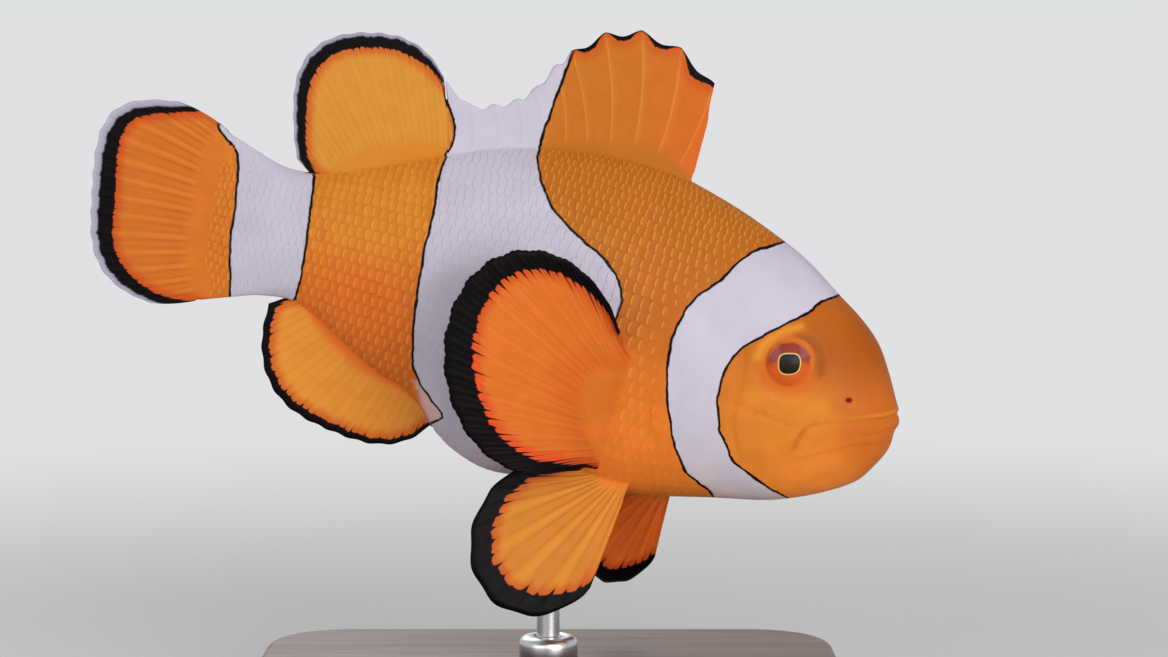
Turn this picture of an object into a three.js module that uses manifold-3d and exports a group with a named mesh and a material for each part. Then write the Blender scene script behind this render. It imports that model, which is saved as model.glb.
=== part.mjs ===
// A clownfish (Amphiprion ocellaris) as a life-size display model on a small stand.
// Millimetres. +X is the way the fish heads, +Y its left side, +Z up.
// The origin is the middle of the stand's underside.
// A point of the fish is given as (along, up, out): how far behind the snout it is along the
// curved midline, how far above that midline, and how far to the fish's left of it.
import * as THREE from "three";
import { mergeVertices } from "three/addons/utils/BufferGeometryUtils.js";
import Module from "manifold-3d";

const wasm = await Module();
wasm.setup();

// ---- driving dimensions ----
const gap = 0.3; // between two neighbouring pieces
const midlineLength = 91; // snout tip to the end of the tail fin
const snoutTip = { x: 38.4, z: 32.9 };
const headPitch = 19.2; // degrees that the head points down
const tailLevelling = 15; // degrees by which the tail is nearer level than the head
const levellingPower = 2.5;
const tailSweep = 4; // sideways swing of the tail's tip, to the left
const sweepStart = 42;

// Outline of the body without fins. Each row is [along, value].
const backLine = [
  [0, -2.2], [0.6, 0.6], [1.6, 2.4], [3.3, 5.0], [5.5, 7.7], [8.1, 9.6], [11.3, 11.3], [15.8, 13.7],
  [20, 15.2], [26.2, 16.9], [34, 18.1], [42, 17.4], [50, 15.2], [60, 11.0], [67.8, 7.7], [71.3, 7.5],
  [75.3, 9.0], [79.2, 10.7],
];
const bellyLine = [
  [0, -2.2], [0.2, -3.5], [1, -5.3], [2.4, -7.1], [4.6, -9.0], [8, -11.1], [11, -12.5], [17.1, -14.3],
  [26.6, -17.0], [35, -18.0], [41.5, -19.0], [46, -18.0], [55.9, -12.9], [61.4, -10.0], [67.2, -6.9],
  [71.3, -6.9], [75, -7.8], [79.2, -8.9],
];
const halfWidths = [
  [0, 0], [0.2, 1.4], [1, 2.8], [2.4, 3.8], [4.6, 4.8], [8, 5.7], [14, 6.6], [20, 7.2], [27, 7.8],
  [35, 7.9], [43, 7.3], [51, 6.0], [59, 4.4], [67, 2.9], [72, 2.1], [76, 1.3], [79.2, 0.75],
];
// How sharply the section closes above and below its widest level: 0.5 is an ellipse.
const backSharpness = [[0, 0.5], [14, 0.5], [30, 0.66], [60, 0.7], [79.2, 0.6]];
const bellySharpness = [[0, 0.5], [40, 0.5], [60, 0.62], [79.2, 0.6]];
const widestLevel = [[0, -2.2], [8, -1.5], [30, -2.0], [50, -0.5], [70, 0], [79.2, 0.6]];
const bodyEnd = 78.9;

// The lower jaw stands back from the upper lip. It does so in full from the level fullBelow down
// and as far behind the snout as fullUpTo, and not at all past the other two.
const jaw = { setBack: 0.57, noneAbove: 0.5, fullBelow: -1.2, fullUpTo: 0.5, noneBehind: 3.0 };

const finEdgeHalf = 0.26; // half the thickness of a fin at its edge
const finRayHalf = 0.12; // added along each ray
const finRayTaper = 0.6; // share of that lost by the ray's tip
const rayCount = { softDorsal: 13, anal: 12, caudal: 14, pectoral: 15, pelvic: 6 };
const scallop = 0.22; // how far the membrane dips between two soft rays
const spineScallop = 0.7; // and between two spines

const eye = { along: 14.6, up: 2.75, radius: 3.4, bulge: 0.95, around: 18, rows: 11 };

const base = { length: 64, width: 40, height: 7, corner: 9, bevel: 0.8 };
const rod = { radius: 1.25, x: 0, blank: 30 }; // blank is its length before it is cut to the belly
const collar = { radius: 3.2, height: 2.6, lip: 0.6 };

// ---- the midline and the body's surface ----

// A smooth curve through [position, value] rows, spaced by the square root of the position,
// which rounds the snout.
function through(rows) {
  const knots = rows.map(([position, value]) => [Math.sqrt(position), value]);
  const slopes = knots.map((_, i) => {
    const before = knots[Math.max(i - 1, 0)];
    const after = knots[Math.min(i + 1, knots.length - 1)];
    return (after[1] - before[1]) / (after[0] - before[0]);
  });
  return (position) => {
    const q = Math.sqrt(Math.max(position, 0));
    let i = 0;
    while (i < knots.length - 2 && q > knots[i + 1][0]) i += 1;
    const step = knots[i + 1][0] - knots[i][0];
    const t = THREE.MathUtils.clamp((q - knots[i][0]) / step, 0, 1);
    const rise = knots[i + 1][1] - knots[i][1];
    const a = slopes[i] * step - rise;
    const b = rise - slopes[i + 1] * step;
    return knots[i][1] + t * rise + t * (1 - t) * (a * (1 - t) + b * t);
  };
}

const backAt = through(backLine);
const bellyAt = through(bellyLine);
const halfWidthAt = through(halfWidths);
const backSharpnessAt = through(backSharpness);
const bellySharpnessAt = through(bellySharpness);
const widestAt = through(widestLevel);

// Place and direction of the midline, walked in short steps from the snout.
const walkStep = 0.25;
const walk = [{ x: snoutTip.x, z: snoutTip.z, pitch: THREE.MathUtils.degToRad(headPitch) }];
for (let along = walkStep; along <= midlineLength + 1; along += walkStep) {
  const last = walk.at(-1);
  const levelled = tailLevelling * (along / midlineLength) ** levellingPower;
  walk.push({
    x: last.x - Math.cos(last.pitch) * walkStep,
    z: last.z + Math.sin(last.pitch) * walkStep,
    pitch: THREE.MathUtils.degToRad(headPitch - levelled),
  });
}

function place(along, up, out) {
  const at = THREE.MathUtils.clamp(along / walkStep, 0, walk.length - 2);
  const [from, to] = [walk[Math.floor(at)], walk[Math.floor(at) + 1]];
  const pitch = THREE.MathUtils.lerp(from.pitch, to.pitch, at % 1);
  const ahead = Math.min(along, 0); // a point in front of the snout
  const x = THREE.MathUtils.lerp(from.x, to.x, at % 1) - ahead * Math.cos(pitch);
  const z = THREE.MathUtils.lerp(from.z, to.z, at % 1) + ahead * Math.sin(pitch);
  const sweep = tailSweep * (Math.max(along - sweepStart, 0) / (midlineLength - sweepStart)) ** 2;
  return new THREE.Vector3(x + up * Math.sin(pitch), out + sweep, z + up * Math.cos(pitch));
}

// Half the body's width at a height above the midline.
function flankAt(along, up) {
  const middle = widestAt(along);
  const above = up > middle;
  const reach = above ? backAt(along) - middle : middle - bellyAt(along);
  const share = Math.min(Math.abs(up - middle) / reach, 1);
  const sharpness = above ? backSharpnessAt(along) : bellySharpnessAt(along);
  return halfWidthAt(along) * (1 - share ** 2) ** sharpness;
}

// ---- meshes and solids ----

function indexed(points, faces) {
  const geometry = new THREE.BufferGeometry();
  const numbers = new Float32Array(points.flatMap((p) => [p.x, p.y, p.z]));
  geometry.setAttribute("position", new THREE.BufferAttribute(numbers, 3));
  geometry.setIndex(faces);
  return geometry;
}

function toSolid(geometry) {
  const bare = geometry.clone();
  bare.deleteAttribute("normal");
  bare.deleteAttribute("uv");
  const merged = mergeVertices(bare, 1e-4);
  return new wasm.Manifold(
    new wasm.Mesh({
      numProp: 3,
      vertProperties: merged.attributes.position.array,
      triVerts: new Uint32Array(merged.index.array),
    }),
  );
}

function toGeometry(solid) {
  const mesh = solid.getMesh();
  const geometry = new THREE.BufferGeometry();
  geometry.setAttribute("position", new THREE.BufferAttribute(mesh.vertProperties, 3));
  geometry.setIndex(new THREE.BufferAttribute(mesh.triVerts, 1));
  geometry.computeVertexNormals();
  return geometry;
}

const quad = (a, b, c, d) => [a, b, c, a, c, d];

const stationCrowding = 1.35; // above 1 it puts more of the body's sections near the snout

function jawSetBack(along, up) {
  const below = 1 - THREE.MathUtils.smoothstep(up, jaw.fullBelow, jaw.noneAbove);
  return jaw.setBack * below * (1 - THREE.MathUtils.smoothstep(along, jaw.fullUpTo, jaw.noneBehind));
}

// The body as one closed loft. grow makes it larger all round, for cutting other pieces back.
function bodyLoft(stations, around, grow) {
  const tipLevel = bellyLine[0][1];
  const points = [place(jawSetBack(0, tipLevel) - grow, tipLevel, 0)];
  for (let i = 1; i <= stations; i += 1) {
    const along = bodyEnd * (i / stations) ** stationCrowding + (i === stations ? grow : 0);
    for (let j = 0; j < around; j += 1) {
      const turn = (2 * Math.PI * j) / around;
      const middle = widestAt(along);
      const rises = Math.sin(turn);
      const reach = rises > 0 ? backAt(along) - middle : middle - bellyAt(along);
      const sharpness = rises > 0 ? backSharpnessAt(along) : bellySharpnessAt(along);
      const out = (halfWidthAt(along) + grow) * Math.abs(Math.cos(turn)) ** (2 * sharpness);
      const side = Math.abs(Math.cos(turn)) < 1e-9 ? 0 : Math.sign(Math.cos(turn));
      const up = middle + rises * (reach + grow);
      points.push(place(along + jawSetBack(along, up), up, side * out));
    }
  }
  points.push(place(bodyEnd + grow, widestAt(bodyEnd), 0));
  const faces = [];
  const ring = (i, j) => 1 + i * around + (j % around);
  for (let j = 0; j < around; j += 1) {
    faces.push(0, ring(0, j), ring(0, j + 1));
    for (let i = 0; i < stations - 1; i += 1) {
      faces.push(...quad(ring(i, j), ring(i + 1, j), ring(i + 1, j + 1), ring(i, j + 1)));
    }
    faces.push(points.length - 1, ring(stations - 1, j + 1), ring(stations - 1, j));
  }
  return toSolid(indexed(points, faces));
}

const slopeStep = 1e-3; // share of a fin over which its slope is taken

// A closed plate over a grid of middle points, thickened to each side.
function plate(across, outward, middle, halfThickness) {
  const points = [];
  const other = (across + 1) * (outward + 1);
  const at = (i, j) => i * (outward + 1) + j;
  for (const side of [1, -1]) {
    for (let i = 0; i <= across; i += 1) {
      for (let j = 0; j <= outward; j += 1) {
        const [u, v] = [i / across, j / outward];
        const [u0, u1] = [Math.max(u - slopeStep, 0), Math.min(u + slopeStep, 1)];
        const [v0, v1] = [Math.max(v - slopeStep, 0), Math.min(v + slopeStep, 1)];
        const normal = middle(u1, v).sub(middle(u0, v)).cross(middle(u, v1).sub(middle(u, v0)));
        normal.normalize().multiplyScalar(side * halfThickness(u, v));
        points.push(middle(u, v).add(normal));
      }
    }
  }
  const faces = [];
  for (let i = 0; i < across; i += 1) {
    for (let j = 0; j < outward; j += 1) {
      faces.push(...quad(at(i, j), at(i + 1, j), at(i + 1, j + 1), at(i, j + 1)));
      const corners = [at(i, j + 1), at(i + 1, j + 1), at(i + 1, j), at(i, j)];
      faces.push(...quad(...corners.map((k) => k + other)));
    }
  }
  const rim = [];
  for (let i = 0; i < across; i += 1) rim.push(at(i, 0));
  for (let j = 0; j < outward; j += 1) rim.push(at(across, j));
  for (let i = across; i > 0; i -= 1) rim.push(at(i, outward));
  for (let j = outward; j > 0; j -= 1) rim.push(at(0, j));
  rim.forEach((k, n) => {
    const next = rim[(n + 1) % rim.length];
    faces.push(...quad(k, k + other, next + other, next));
  });
  return toSolid(indexed(points, faces));
}

// ---- fins ----

// The tips of a fin's rays, on a rounded lobe: an ellipse, squarer as squareness passes 2.
// from, to and tilt are in degrees, and squareness is given at the first and the last ray.
function lobe({ centre, half, from, to, squareness = [2, 2], tilt = 0 }) {
  const middle = new THREE.Vector2(...centre);
  return (u) => {
    const turn = THREE.MathUtils.degToRad(THREE.MathUtils.lerp(from, to, u));
    const power = THREE.MathUtils.lerp(...squareness, u);
    const [c, s] = [Math.cos(turn), Math.sin(turn)];
    const reach = (Math.abs(c) ** power + Math.abs(s) ** power) ** (-1 / power);
    const tip = new THREE.Vector2(half[0] * reach * c, half[1] * reach * s).add(middle);
    return tip.rotateAround(middle, THREE.MathUtils.degToRad(tilt)).toArray();
  };
}

// Half a fin's thickness: thick at the root, thin at the edge, with a rib on every second column.
const ribbed = (rays, rootHalf) => (u, v) => {
  const onRay = 0.5 + 0.5 * Math.cos(2 * Math.PI * rays * u);
  const ray = finRayHalf * onRay * (1 - finRayTaper * v);
  return finEdgeHalf + (rootHalf - finEdgeHalf) * (1 - v) ** 3 + ray;
};

const dip = (rays, depth) => (u) => depth * (0.5 - 0.5 * Math.cos(2 * Math.PI * rays * u));

// A fin in the fish's middle plane, from the body's outline to the tips of its rays.
function medianFin({ rays, root, tip, bow = 0, outward, dipDepth = scallop, rootHalf = 0.9 }) {
  const dipAt = dip(rays, dipDepth);
  const middle = (u, v) => {
    const [from, to] = [root(u), tip(u)];
    const run = Math.hypot(to[0] - from[0], to[1] - from[1]);
    const reach = v * (1 - (dipAt(u) * v ** 4) / run);
    const bend = bow * (1 - 2 * u) * 4 * v * (1 - v);
    return place(from[0] + (to[0] - from[0]) * reach, from[1] + (to[1] - from[1]) * reach + bend, 0);
  };
  return plate(2 * rays, outward, middle, ribbed(rays, rootHalf));
}

const rootInside = 1.2; // how far a fin's root starts inside the body, before it is cut back
const alongBack = (from, to) => (u) => {
  const along = THREE.MathUtils.lerp(from, to, u);
  return [along, backAt(along) - rootInside];
};
const alongBelly = (from, to) => (u) => {
  const along = THREE.MathUtils.lerp(from, to, u);
  return [along, bellyAt(along) + rootInside];
};

// Tips of the dorsal spines, front to rear, as [along, up]. The last one is the end of the web.
const spineTips = [
  [30.4, 24.0], [31.0, 28.3], [35.4, 30.8], [39.7, 31.3], [43.2, 29.9], [45.9, 27.0], [47.1, 25.0],
  [48.5, 22.0], [49.9, 20.4], [52.0, 19.2], [54.0, 18.5], [57.0, 20.0],
];
const finSplit = 54.5; // where the spiny and the soft dorsal fin meet

function spinyDorsalFin() {
  const spans = spineTips.length - 1;
  return medianFin({
    rays: spans,
    root: alongBack(30.0, finSplit - gap / 2),
    tip: (u) => {
      const i = Math.min(Math.floor(u * spans), spans - 1);
      const t = u * spans - i;
      return [0, 1].map((k) => THREE.MathUtils.lerp(spineTips[i][k], spineTips[i + 1][k], t));
    },
    outward: 3,
    dipDepth: spineScallop,
  });
}

function softDorsalFin() {
  return medianFin({
    rays: rayCount.softDorsal,
    root: alongBack(finSplit + gap / 2, 67.6),
    tip: lobe({
      centre: [63.5, 14.3], half: [8.1, 9.4], from: 148.5, to: -26.5, squareness: [2.2, 2.85], tilt: -11,
    }),
    outward: 4,
  });
}

function analFin() {
  return medianFin({
    rays: rayCount.anal,
    root: alongBelly(67.2, 48.8),
    tip: lobe({
      centre: [59, -8.8], half: [11.4, 10.8], from: -2, to: -152, squareness: [2.35, 2.85], tilt: 8.5,
    }),
    outward: 4,
  });
}

function caudalFin() {
  const start = bodyEnd + gap;
  return medianFin({
    rays: rayCount.caudal,
    root: (u) => [start, THREE.MathUtils.lerp(backAt(start), bellyAt(start), u)],
    tip: lobe({ centre: [80.6, 1.3], half: [11.1, 11.2], from: 76, to: -73, squareness: [4.4, 2.4] }),
    bow: 1.0,
    outward: 4,
    rootHalf: 0.8,
  });
}

// side is 1 for the fish's left and -1 for its right.
const pectoral = {
  rootTop: [31.0, -2.1], rootBottom: [30.6, -14.6], sunk: 0.8, rootHalf: 1.3,
  lift: 9.2, // how far the middle ray's tip stands off the flank
  edgeLift: 0.62, // share of that at the first and the last ray
  cupping: 0.45, // how much faster the fin leaves the flank at its root
  edge: { centre: [40.3, -5.15], half: [9.35, 11.95], from: 156, to: -98, tilt: -24.6 },
};

function pectoralFin(side) {
  const tip = lobe(pectoral.edge);
  const dipAt = dip(rayCount.pectoral, scallop);
  const middle = (u, v) => {
    const root = [0, 1].map((k) => THREE.MathUtils.lerp(pectoral.rootTop[k], pectoral.rootBottom[k], u));
    const to = tip(u);
    const reach = v - (dipAt(u) * v ** 4) / Math.hypot(to[0] - root[0], to[1] - root[1]);
    const tipLift = pectoral.lift * THREE.MathUtils.lerp(pectoral.edgeLift, 1, Math.sin(Math.PI * u));
    const lift = tipLift * reach * (1 + pectoral.cupping * (1 - reach));
    return place(
      THREE.MathUtils.lerp(root[0], to[0], reach),
      THREE.MathUtils.lerp(root[1], to[1], reach),
      side * (flankAt(...root) - pectoral.sunk + lift),
    );
  };
  return plate(2 * rayCount.pectoral, 4, middle, ribbed(rayCount.pectoral, pectoral.rootHalf));
}

// Swing is how far the first and last ray lie back from straight down, splay how far out they stand.
const pelvic = {
  rootOut: 2.6, rootUp: -15, rootRun: 3.4, rootDrop: 0.4, rootHalf: 0.95, dipDepth: 0.3,
  firstRay: 12.4, lastRay: 8.8, swell: 8.5, swellShift: 0.79,
  right: { side: -1, rootAlong: 26.2, swing: [3, 83], splay: 18 },
  left: { side: 1, rootAlong: 21.3, swing: [-9, 38], splay: 43 },
};

function pelvicFin({ side, rootAlong, swing, splay }) {
  const dipAt = dip(rayCount.pelvic, pelvic.dipDepth);
  const out = THREE.MathUtils.degToRad(splay);
  const middle = (u, v) => {
    const back = THREE.MathUtils.degToRad(THREE.MathUtils.lerp(...swing, u));
    const length = THREE.MathUtils.lerp(pelvic.firstRay, pelvic.lastRay, u)
      + pelvic.swell * Math.sin(Math.PI * u ** pelvic.swellShift) - dipAt(u) * v ** 4;
    const flat = v * length * Math.cos(out);
    return place(
      rootAlong + pelvic.rootRun * u + flat * Math.sin(back),
      pelvic.rootUp - pelvic.rootDrop * u - flat * Math.cos(back),
      side * (pelvic.rootOut + v * length * Math.sin(out)),
    );
  };
  return plate(3 * rayCount.pelvic, 4, middle, ribbed(rayCount.pelvic, pelvic.rootHalf));
}

// ---- the body, parted by thin cuts ----

// Each line is [along, up] points on the fish's side.
const gillOpening = [[19.5, 20], [23.6, 8], [26.4, 3], [27.6, -2], [26.6, -7.5], [23.0, -12.6], [17.5, -20]];
const cheekEdge = [gillOpening[1], [20.3, 5.6], [18.6, 0.5], [18.0, -5], [15.6, -9.4], [17.5, -17]];
const jawEdge = [[-3, 1.4], [0.9, -0.3], [5.1, -2.6], [9.2, -5.1], [10.9, -8], [10.4, -17]];
const stalkEdge = [[66.9, 14], [66.2, 4], [66.2, -4], [66.9, -14]];
const gillCoverDepth = 3.4; // distance of a gill cover's inner face from the middle plane
const bodyGrid = { stations: 33, around: 22 };
const lineSteps = 2; // straight steps between two points of a cut's line
const beyondBody = 20; // half the depth of a cut that runs right through

function smoothLine(line) {
  const points = line.map(([along, up]) => {
    const p = place(along, up, 0);
    return new THREE.Vector2(p.x, p.z);
  });
  return new THREE.SplineCurve(points).getPoints(lineSteps * (line.length - 1));
}

// An upright block with that outline, between two distances from the middle plane.
function block(shape, from, to) {
  const geometry = new THREE.ExtrudeGeometry(shape, { depth: to - from, bevelEnabled: false });
  geometry.rotateX(Math.PI / 2); // the extrusion now runs along -Y
  geometry.translate(0, to, 0);
  return toSolid(geometry);
}

// A thin upright slab along a line of points, one gap thick.
function slab(line, from = -beyondBody, to = beyondBody) {
  const middle = smoothLine(line);
  const offset = (sign) => middle.map((p, i) => {
    const run = middle[Math.min(i + 1, middle.length - 1)].clone().sub(middle[Math.max(i - 1, 0)]);
    run.setLength(sign * gap / 2);
    return new THREE.Vector2(p.x - run.y, p.y + run.x);
  });
  return block(new THREE.Shape([...offset(1), ...offset(-1).reverse()]), from, to);
}

// The middle of an eyeball, which stands out of the head's side by its bulge.
function eyeCentre(side) {
  const out = flankAt(eye.along, eye.up) + eye.bulge - eye.radius;
  return place(eye.along, eye.up, side * out);
}

function ball(centre, radius) {
  const geometry = new THREE.SphereGeometry(radius, eye.around, eye.rows);
  return toSolid(geometry.translate(centre.x, centre.y, centre.z));
}

// The whole body, less the cuts, falls into these pieces. Each is known by a point near its middle.
const fleshPieces = {
  head: [12, 2.5, 0],
  lower_jaw: [5, -7, 0],
  gill_cover_right: [22.5, -3, -5.5],
  gill_cover_left: [22.5, -3, 5.5],
  trunk: [45, 0, 0],
  tail_stalk: [72.5, 0, 0],
};

function partedBody() {
  let flesh = bodyLoft(bodyGrid.stations, bodyGrid.around, 0);
  const cuts = [slab(gillOpening), slab(jawEdge), slab(stalkEdge)];
  const coverRear = smoothLine(gillOpening).slice(lineSteps + 1).toReversed();
  const coverOutline = new THREE.Shape([...smoothLine(cheekEdge), ...coverRear]);
  for (const side of [-1, 1]) {
    const depths = [gillCoverDepth, gillCoverDepth - gap, beyondBody];
    const [outer, inner, beyond] = depths.map((out) => side * out);
    cuts.push(slab(cheekEdge, Math.min(inner, beyond), Math.max(inner, beyond)));
    cuts.push(block(coverOutline, Math.min(inner, outer), Math.max(inner, outer)));
    cuts.push(ball(eyeCentre(side), eye.radius + gap));
  }
  for (const cut of cuts) flesh = flesh.subtract(cut);
  const pieces = flesh.decompose();
  const centreOf = (piece) => {
    const { min, max } = piece.boundingBox();
    return new THREE.Vector3((min[0] + max[0]) / 2, (min[1] + max[1]) / 2, (min[2] + max[2]) / 2);
  };
  return Object.entries(fleshPieces).map(([name, point]) => {
    const probe = place(...point);
    const nearest = (a, b) => (centreOf(a).distanceTo(probe) < centreOf(b).distanceTo(probe) ? a : b);
    return [name, pieces.reduce(nearest)];
  });
}

// ---- the stand ----

const roundSteps = 20; // flats round the rod and the collar
const cornerSteps = 4; // and round each corner of the base

function standBase() {
  const [x, y] = [base.length / 2 - base.bevel, base.width / 2 - base.bevel];
  const r = base.corner;
  const shape = new THREE.Shape();
  shape.moveTo(-x + r, -y).lineTo(x - r, -y).absarc(x - r, -y + r, r, -Math.PI / 2, 0);
  shape.lineTo(x, y - r).absarc(x - r, y - r, r, 0, Math.PI / 2);
  shape.lineTo(-x + r, y).absarc(-x + r, y - r, r, Math.PI / 2, Math.PI);
  shape.lineTo(-x, -y + r).absarc(-x + r, -y + r, r, Math.PI, 1.5 * Math.PI);
  return new THREE.ExtrudeGeometry(shape, {
    depth: base.height - 2 * base.bevel,
    bevelThickness: base.bevel,
    bevelSize: base.bevel,
    bevelSegments: 1,
    curveSegments: cornerSteps,
  }).translate(0, 0, base.bevel);
}

// A ring round the rod's foot.
function standCollar() {
  const inner = rod.radius + gap;
  const profile = [
    [inner, 0], [collar.radius, 0], [collar.radius, collar.height - collar.lip],
    [collar.radius - collar.lip, collar.height], [inner, collar.height], [inner, 0],
  ];
  const points = profile.map(([r, z]) => new THREE.Vector2(r, z));
  return new THREE.LatheGeometry(points, roundSteps).rotateX(Math.PI / 2)
    .translate(rod.x, 0, base.height + gap);
}

// The rod runs up from the base and is cut to the shape of the belly that it meets.
function standRod(body) {
  const foot = base.height + gap;
  const geometry = new THREE.CylinderGeometry(rod.radius, rod.radius, rod.blank, roundSteps);
  geometry.rotateX(Math.PI / 2).translate(rod.x, 0, foot + rod.blank / 2);
  const parts = toSolid(geometry).subtract(body).decompose();
  return parts.reduce((a, b) => (a.boundingBox().min[2] < b.boundingBox().min[2] ? a : b));
}

// ---- the model ----

const paints = {
  orange: { color: 0xdc7423, roughness: 0.45 },
  paleBand: { color: 0xd9d2dc, roughness: 0.45 },
  fin: { color: 0xdd6f22, roughness: 0.5 },
  eye: { color: 0x1c1410, roughness: 0.1 },
  wood: { color: 0x4a2f1d, roughness: 0.5 },
  steel: { color: 0xb9bbbd, roughness: 0.3, metalness: 1 },
};
const fish = new THREE.Group();
const stand = new THREE.Group();
const model = new THREE.Group().add(fish, stand);

function add(group, name, shape, paint) {
  const geometry = shape.isBufferGeometry ? shape : toGeometry(shape);
  const mesh = new THREE.Mesh(geometry, new THREE.MeshStandardMaterial(paints[paint]));
  mesh.name = name;
  group.add(mesh);
}

for (const [name, piece] of partedBody()) add(fish, name, piece, "orange");

const clearOfBody = bodyLoft(bodyGrid.stations, bodyGrid.around, gap);
const outsideBody = (fin) => {
  const parts = fin.subtract(clearOfBody).decompose();
  return parts.reduce((a, b) => (a.volume() > b.volume() ? a : b));
};
add(fish, "dorsal_fin_spiny", outsideBody(spinyDorsalFin()), "fin");
add(fish, "dorsal_fin_soft", outsideBody(softDorsalFin()), "fin");
add(fish, "anal_fin", outsideBody(analFin()), "fin");
add(fish, "tail_fin", caudalFin(), "fin");
for (const [name, side] of [["right", -1], ["left", 1]]) {
  add(fish, `pectoral_fin_${name}`, outsideBody(pectoralFin(side)), "fin");
  add(fish, `pelvic_fin_${name}`, outsideBody(pelvicFin(pelvic[name])), "fin");
  add(fish, `eye_${name}`, ball(eyeCentre(side), eye.radius), "eye");
}

add(stand, "stand_base", standBase(), "wood");
add(stand, "stand_collar", standCollar(), "steel");
add(stand, "stand_rod", standRod(clearOfBody), "steel");

export default model;
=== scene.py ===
import math

import bpy
import numpy as np
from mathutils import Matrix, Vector
from mathutils.kdtree import KDTree


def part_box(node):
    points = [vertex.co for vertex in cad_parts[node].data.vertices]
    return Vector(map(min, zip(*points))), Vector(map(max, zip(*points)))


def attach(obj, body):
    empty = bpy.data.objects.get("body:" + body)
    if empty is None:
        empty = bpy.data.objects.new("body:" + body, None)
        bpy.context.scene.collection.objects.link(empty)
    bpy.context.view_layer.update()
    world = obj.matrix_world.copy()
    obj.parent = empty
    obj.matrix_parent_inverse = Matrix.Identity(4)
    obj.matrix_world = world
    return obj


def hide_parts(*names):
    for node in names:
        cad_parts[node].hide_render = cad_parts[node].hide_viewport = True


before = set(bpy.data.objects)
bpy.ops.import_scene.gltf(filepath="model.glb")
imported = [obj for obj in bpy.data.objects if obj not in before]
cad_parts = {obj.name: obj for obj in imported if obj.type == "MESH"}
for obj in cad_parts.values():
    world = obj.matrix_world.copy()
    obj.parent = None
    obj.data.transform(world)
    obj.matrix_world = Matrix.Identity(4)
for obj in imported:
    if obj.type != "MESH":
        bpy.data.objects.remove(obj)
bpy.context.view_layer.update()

random = np.random.default_rng(11)
mm = 0.001
farOff = 9.0  # millimetres, beyond the reach of every edge and outline

# The fish is drawn in millimetres as (along, up, out): behind the snout along the curved
# midline, above that midline, and to the fish's left of it.
midline = dict(length=91, snoutX=38.4, snoutZ=32.9, headPitch=19.2, tailLevelling=15, power=2.5,
               tailSweep=4, sweepStart=42, step=0.25)

bodyShape = dict(
    end=78.9,
    back=[(0, -2.2), (0.6, 0.6), (1.6, 2.4), (3.3, 5.0), (5.5, 7.7), (8.1, 9.6), (11.3, 11.3), (15.8, 13.7),
          (20, 15.2), (26.2, 16.9), (34, 18.1), (42, 17.4), (50, 15.2), (60, 11.0), (67.8, 7.7),
          (71.3, 7.5), (75.3, 9.0), (79.2, 10.7)],
    belly=[(0, -2.2), (0.2, -3.5), (1, -5.3), (2.4, -7.1), (4.6, -9.0), (8, -11.1), (11, -12.5),
           (17.1, -14.3), (26.6, -17.0), (35, -18.0), (41.5, -19.0), (46, -18.0), (49.3, -16.1),
           (51.6, -13.9), (53.7, -12.9), (56.5, -12.3), (61.4, -10.0), (67.2, -6.9), (71.3, -6.9),
           (75, -7.8), (79.2, -8.9)],
    halfWidth=[(0, 0), (0.2, 1.4), (1, 2.8), (2.4, 3.8), (4.6, 4.8), (8, 5.7), (14, 6.6), (20, 7.2),
               (27, 7.8), (35, 7.9), (43, 7.3), (51, 6.0), (59, 4.4), (67, 2.9), (72, 2.1), (76, 1.3),
               (79.2, 0.5)],
    backSharpness=[(0, 0.5), (14, 0.5), (30, 0.66), (60, 0.7), (79.2, 0.6)],
    bellySharpness=[(0, 0.5), (40, 0.5), (60, 0.62), (79.2, 0.6)],
    widest=[(0, -2.2), (8, -1.5), (30, -2.0), (50, -0.5), (70, 0), (79.2, 0.6)],
    jaw=dict(setBack=0.57, above=(0.5, -1.2), behind=(0.5, 3.0)),
    skinInside=0.12, headEnd=30, headStations=156, headAround=216, headCrowding=1.35, bodyStations=64)


def through(rows):
    # a smooth curve through (place, value) rows, steep at its start like a rounded nose
    knots = np.array([(math.sqrt(a), b) for a, b in rows])
    last = len(knots) - 1
    ahead, behind = np.minimum(np.arange(last + 1) + 1, last), np.maximum(np.arange(last + 1) - 1, 0)
    slopes = (knots[ahead, 1] - knots[behind, 1]) / (knots[ahead, 0] - knots[behind, 0])

    def at(position):
        q = np.sqrt(np.maximum(np.asarray(position, float), 0))
        i = np.clip(np.searchsorted(knots[:, 0], q) - 1, 0, last - 1)
        step = knots[i + 1, 0] - knots[i, 0]
        t = np.clip((q - knots[i, 0]) / step, 0, 1)
        rise = knots[i + 1, 1] - knots[i, 1]
        a, b = slopes[i] * step - rise, rise - slopes[i + 1] * step
        return knots[i, 1] + t * rise + t * (1 - t) * (a * (1 - t) + b * t)
    return at


backAt, bellyAt = through(bodyShape["back"]), through(bodyShape["belly"])
halfWidthAt, widestAt = through(bodyShape["halfWidth"]), through(bodyShape["widest"])
backSharpnessAt, bellySharpnessAt = through(bodyShape["backSharpness"]), through(bodyShape["bellySharpness"])


def walkMidline():
    # the midline's places and slopes, one for each step from the snout to the tail
    m = midline
    x, z, pitch, along = [m["snoutX"]], [m["snoutZ"]], [math.radians(m["headPitch"])], m["step"]
    while along <= m["length"] + 1:
        x.append(x[-1] - math.cos(pitch[-1]) * m["step"])
        z.append(z[-1] + math.sin(pitch[-1]) * m["step"])
        pitch.append(math.radians(m["headPitch"] - m["tailLevelling"] * (along / m["length"]) ** m["power"]))
        along += m["step"]
    return np.array(x), np.array(z), np.array(pitch)


walkX, walkZ, walkPitch = walkMidline()


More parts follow.
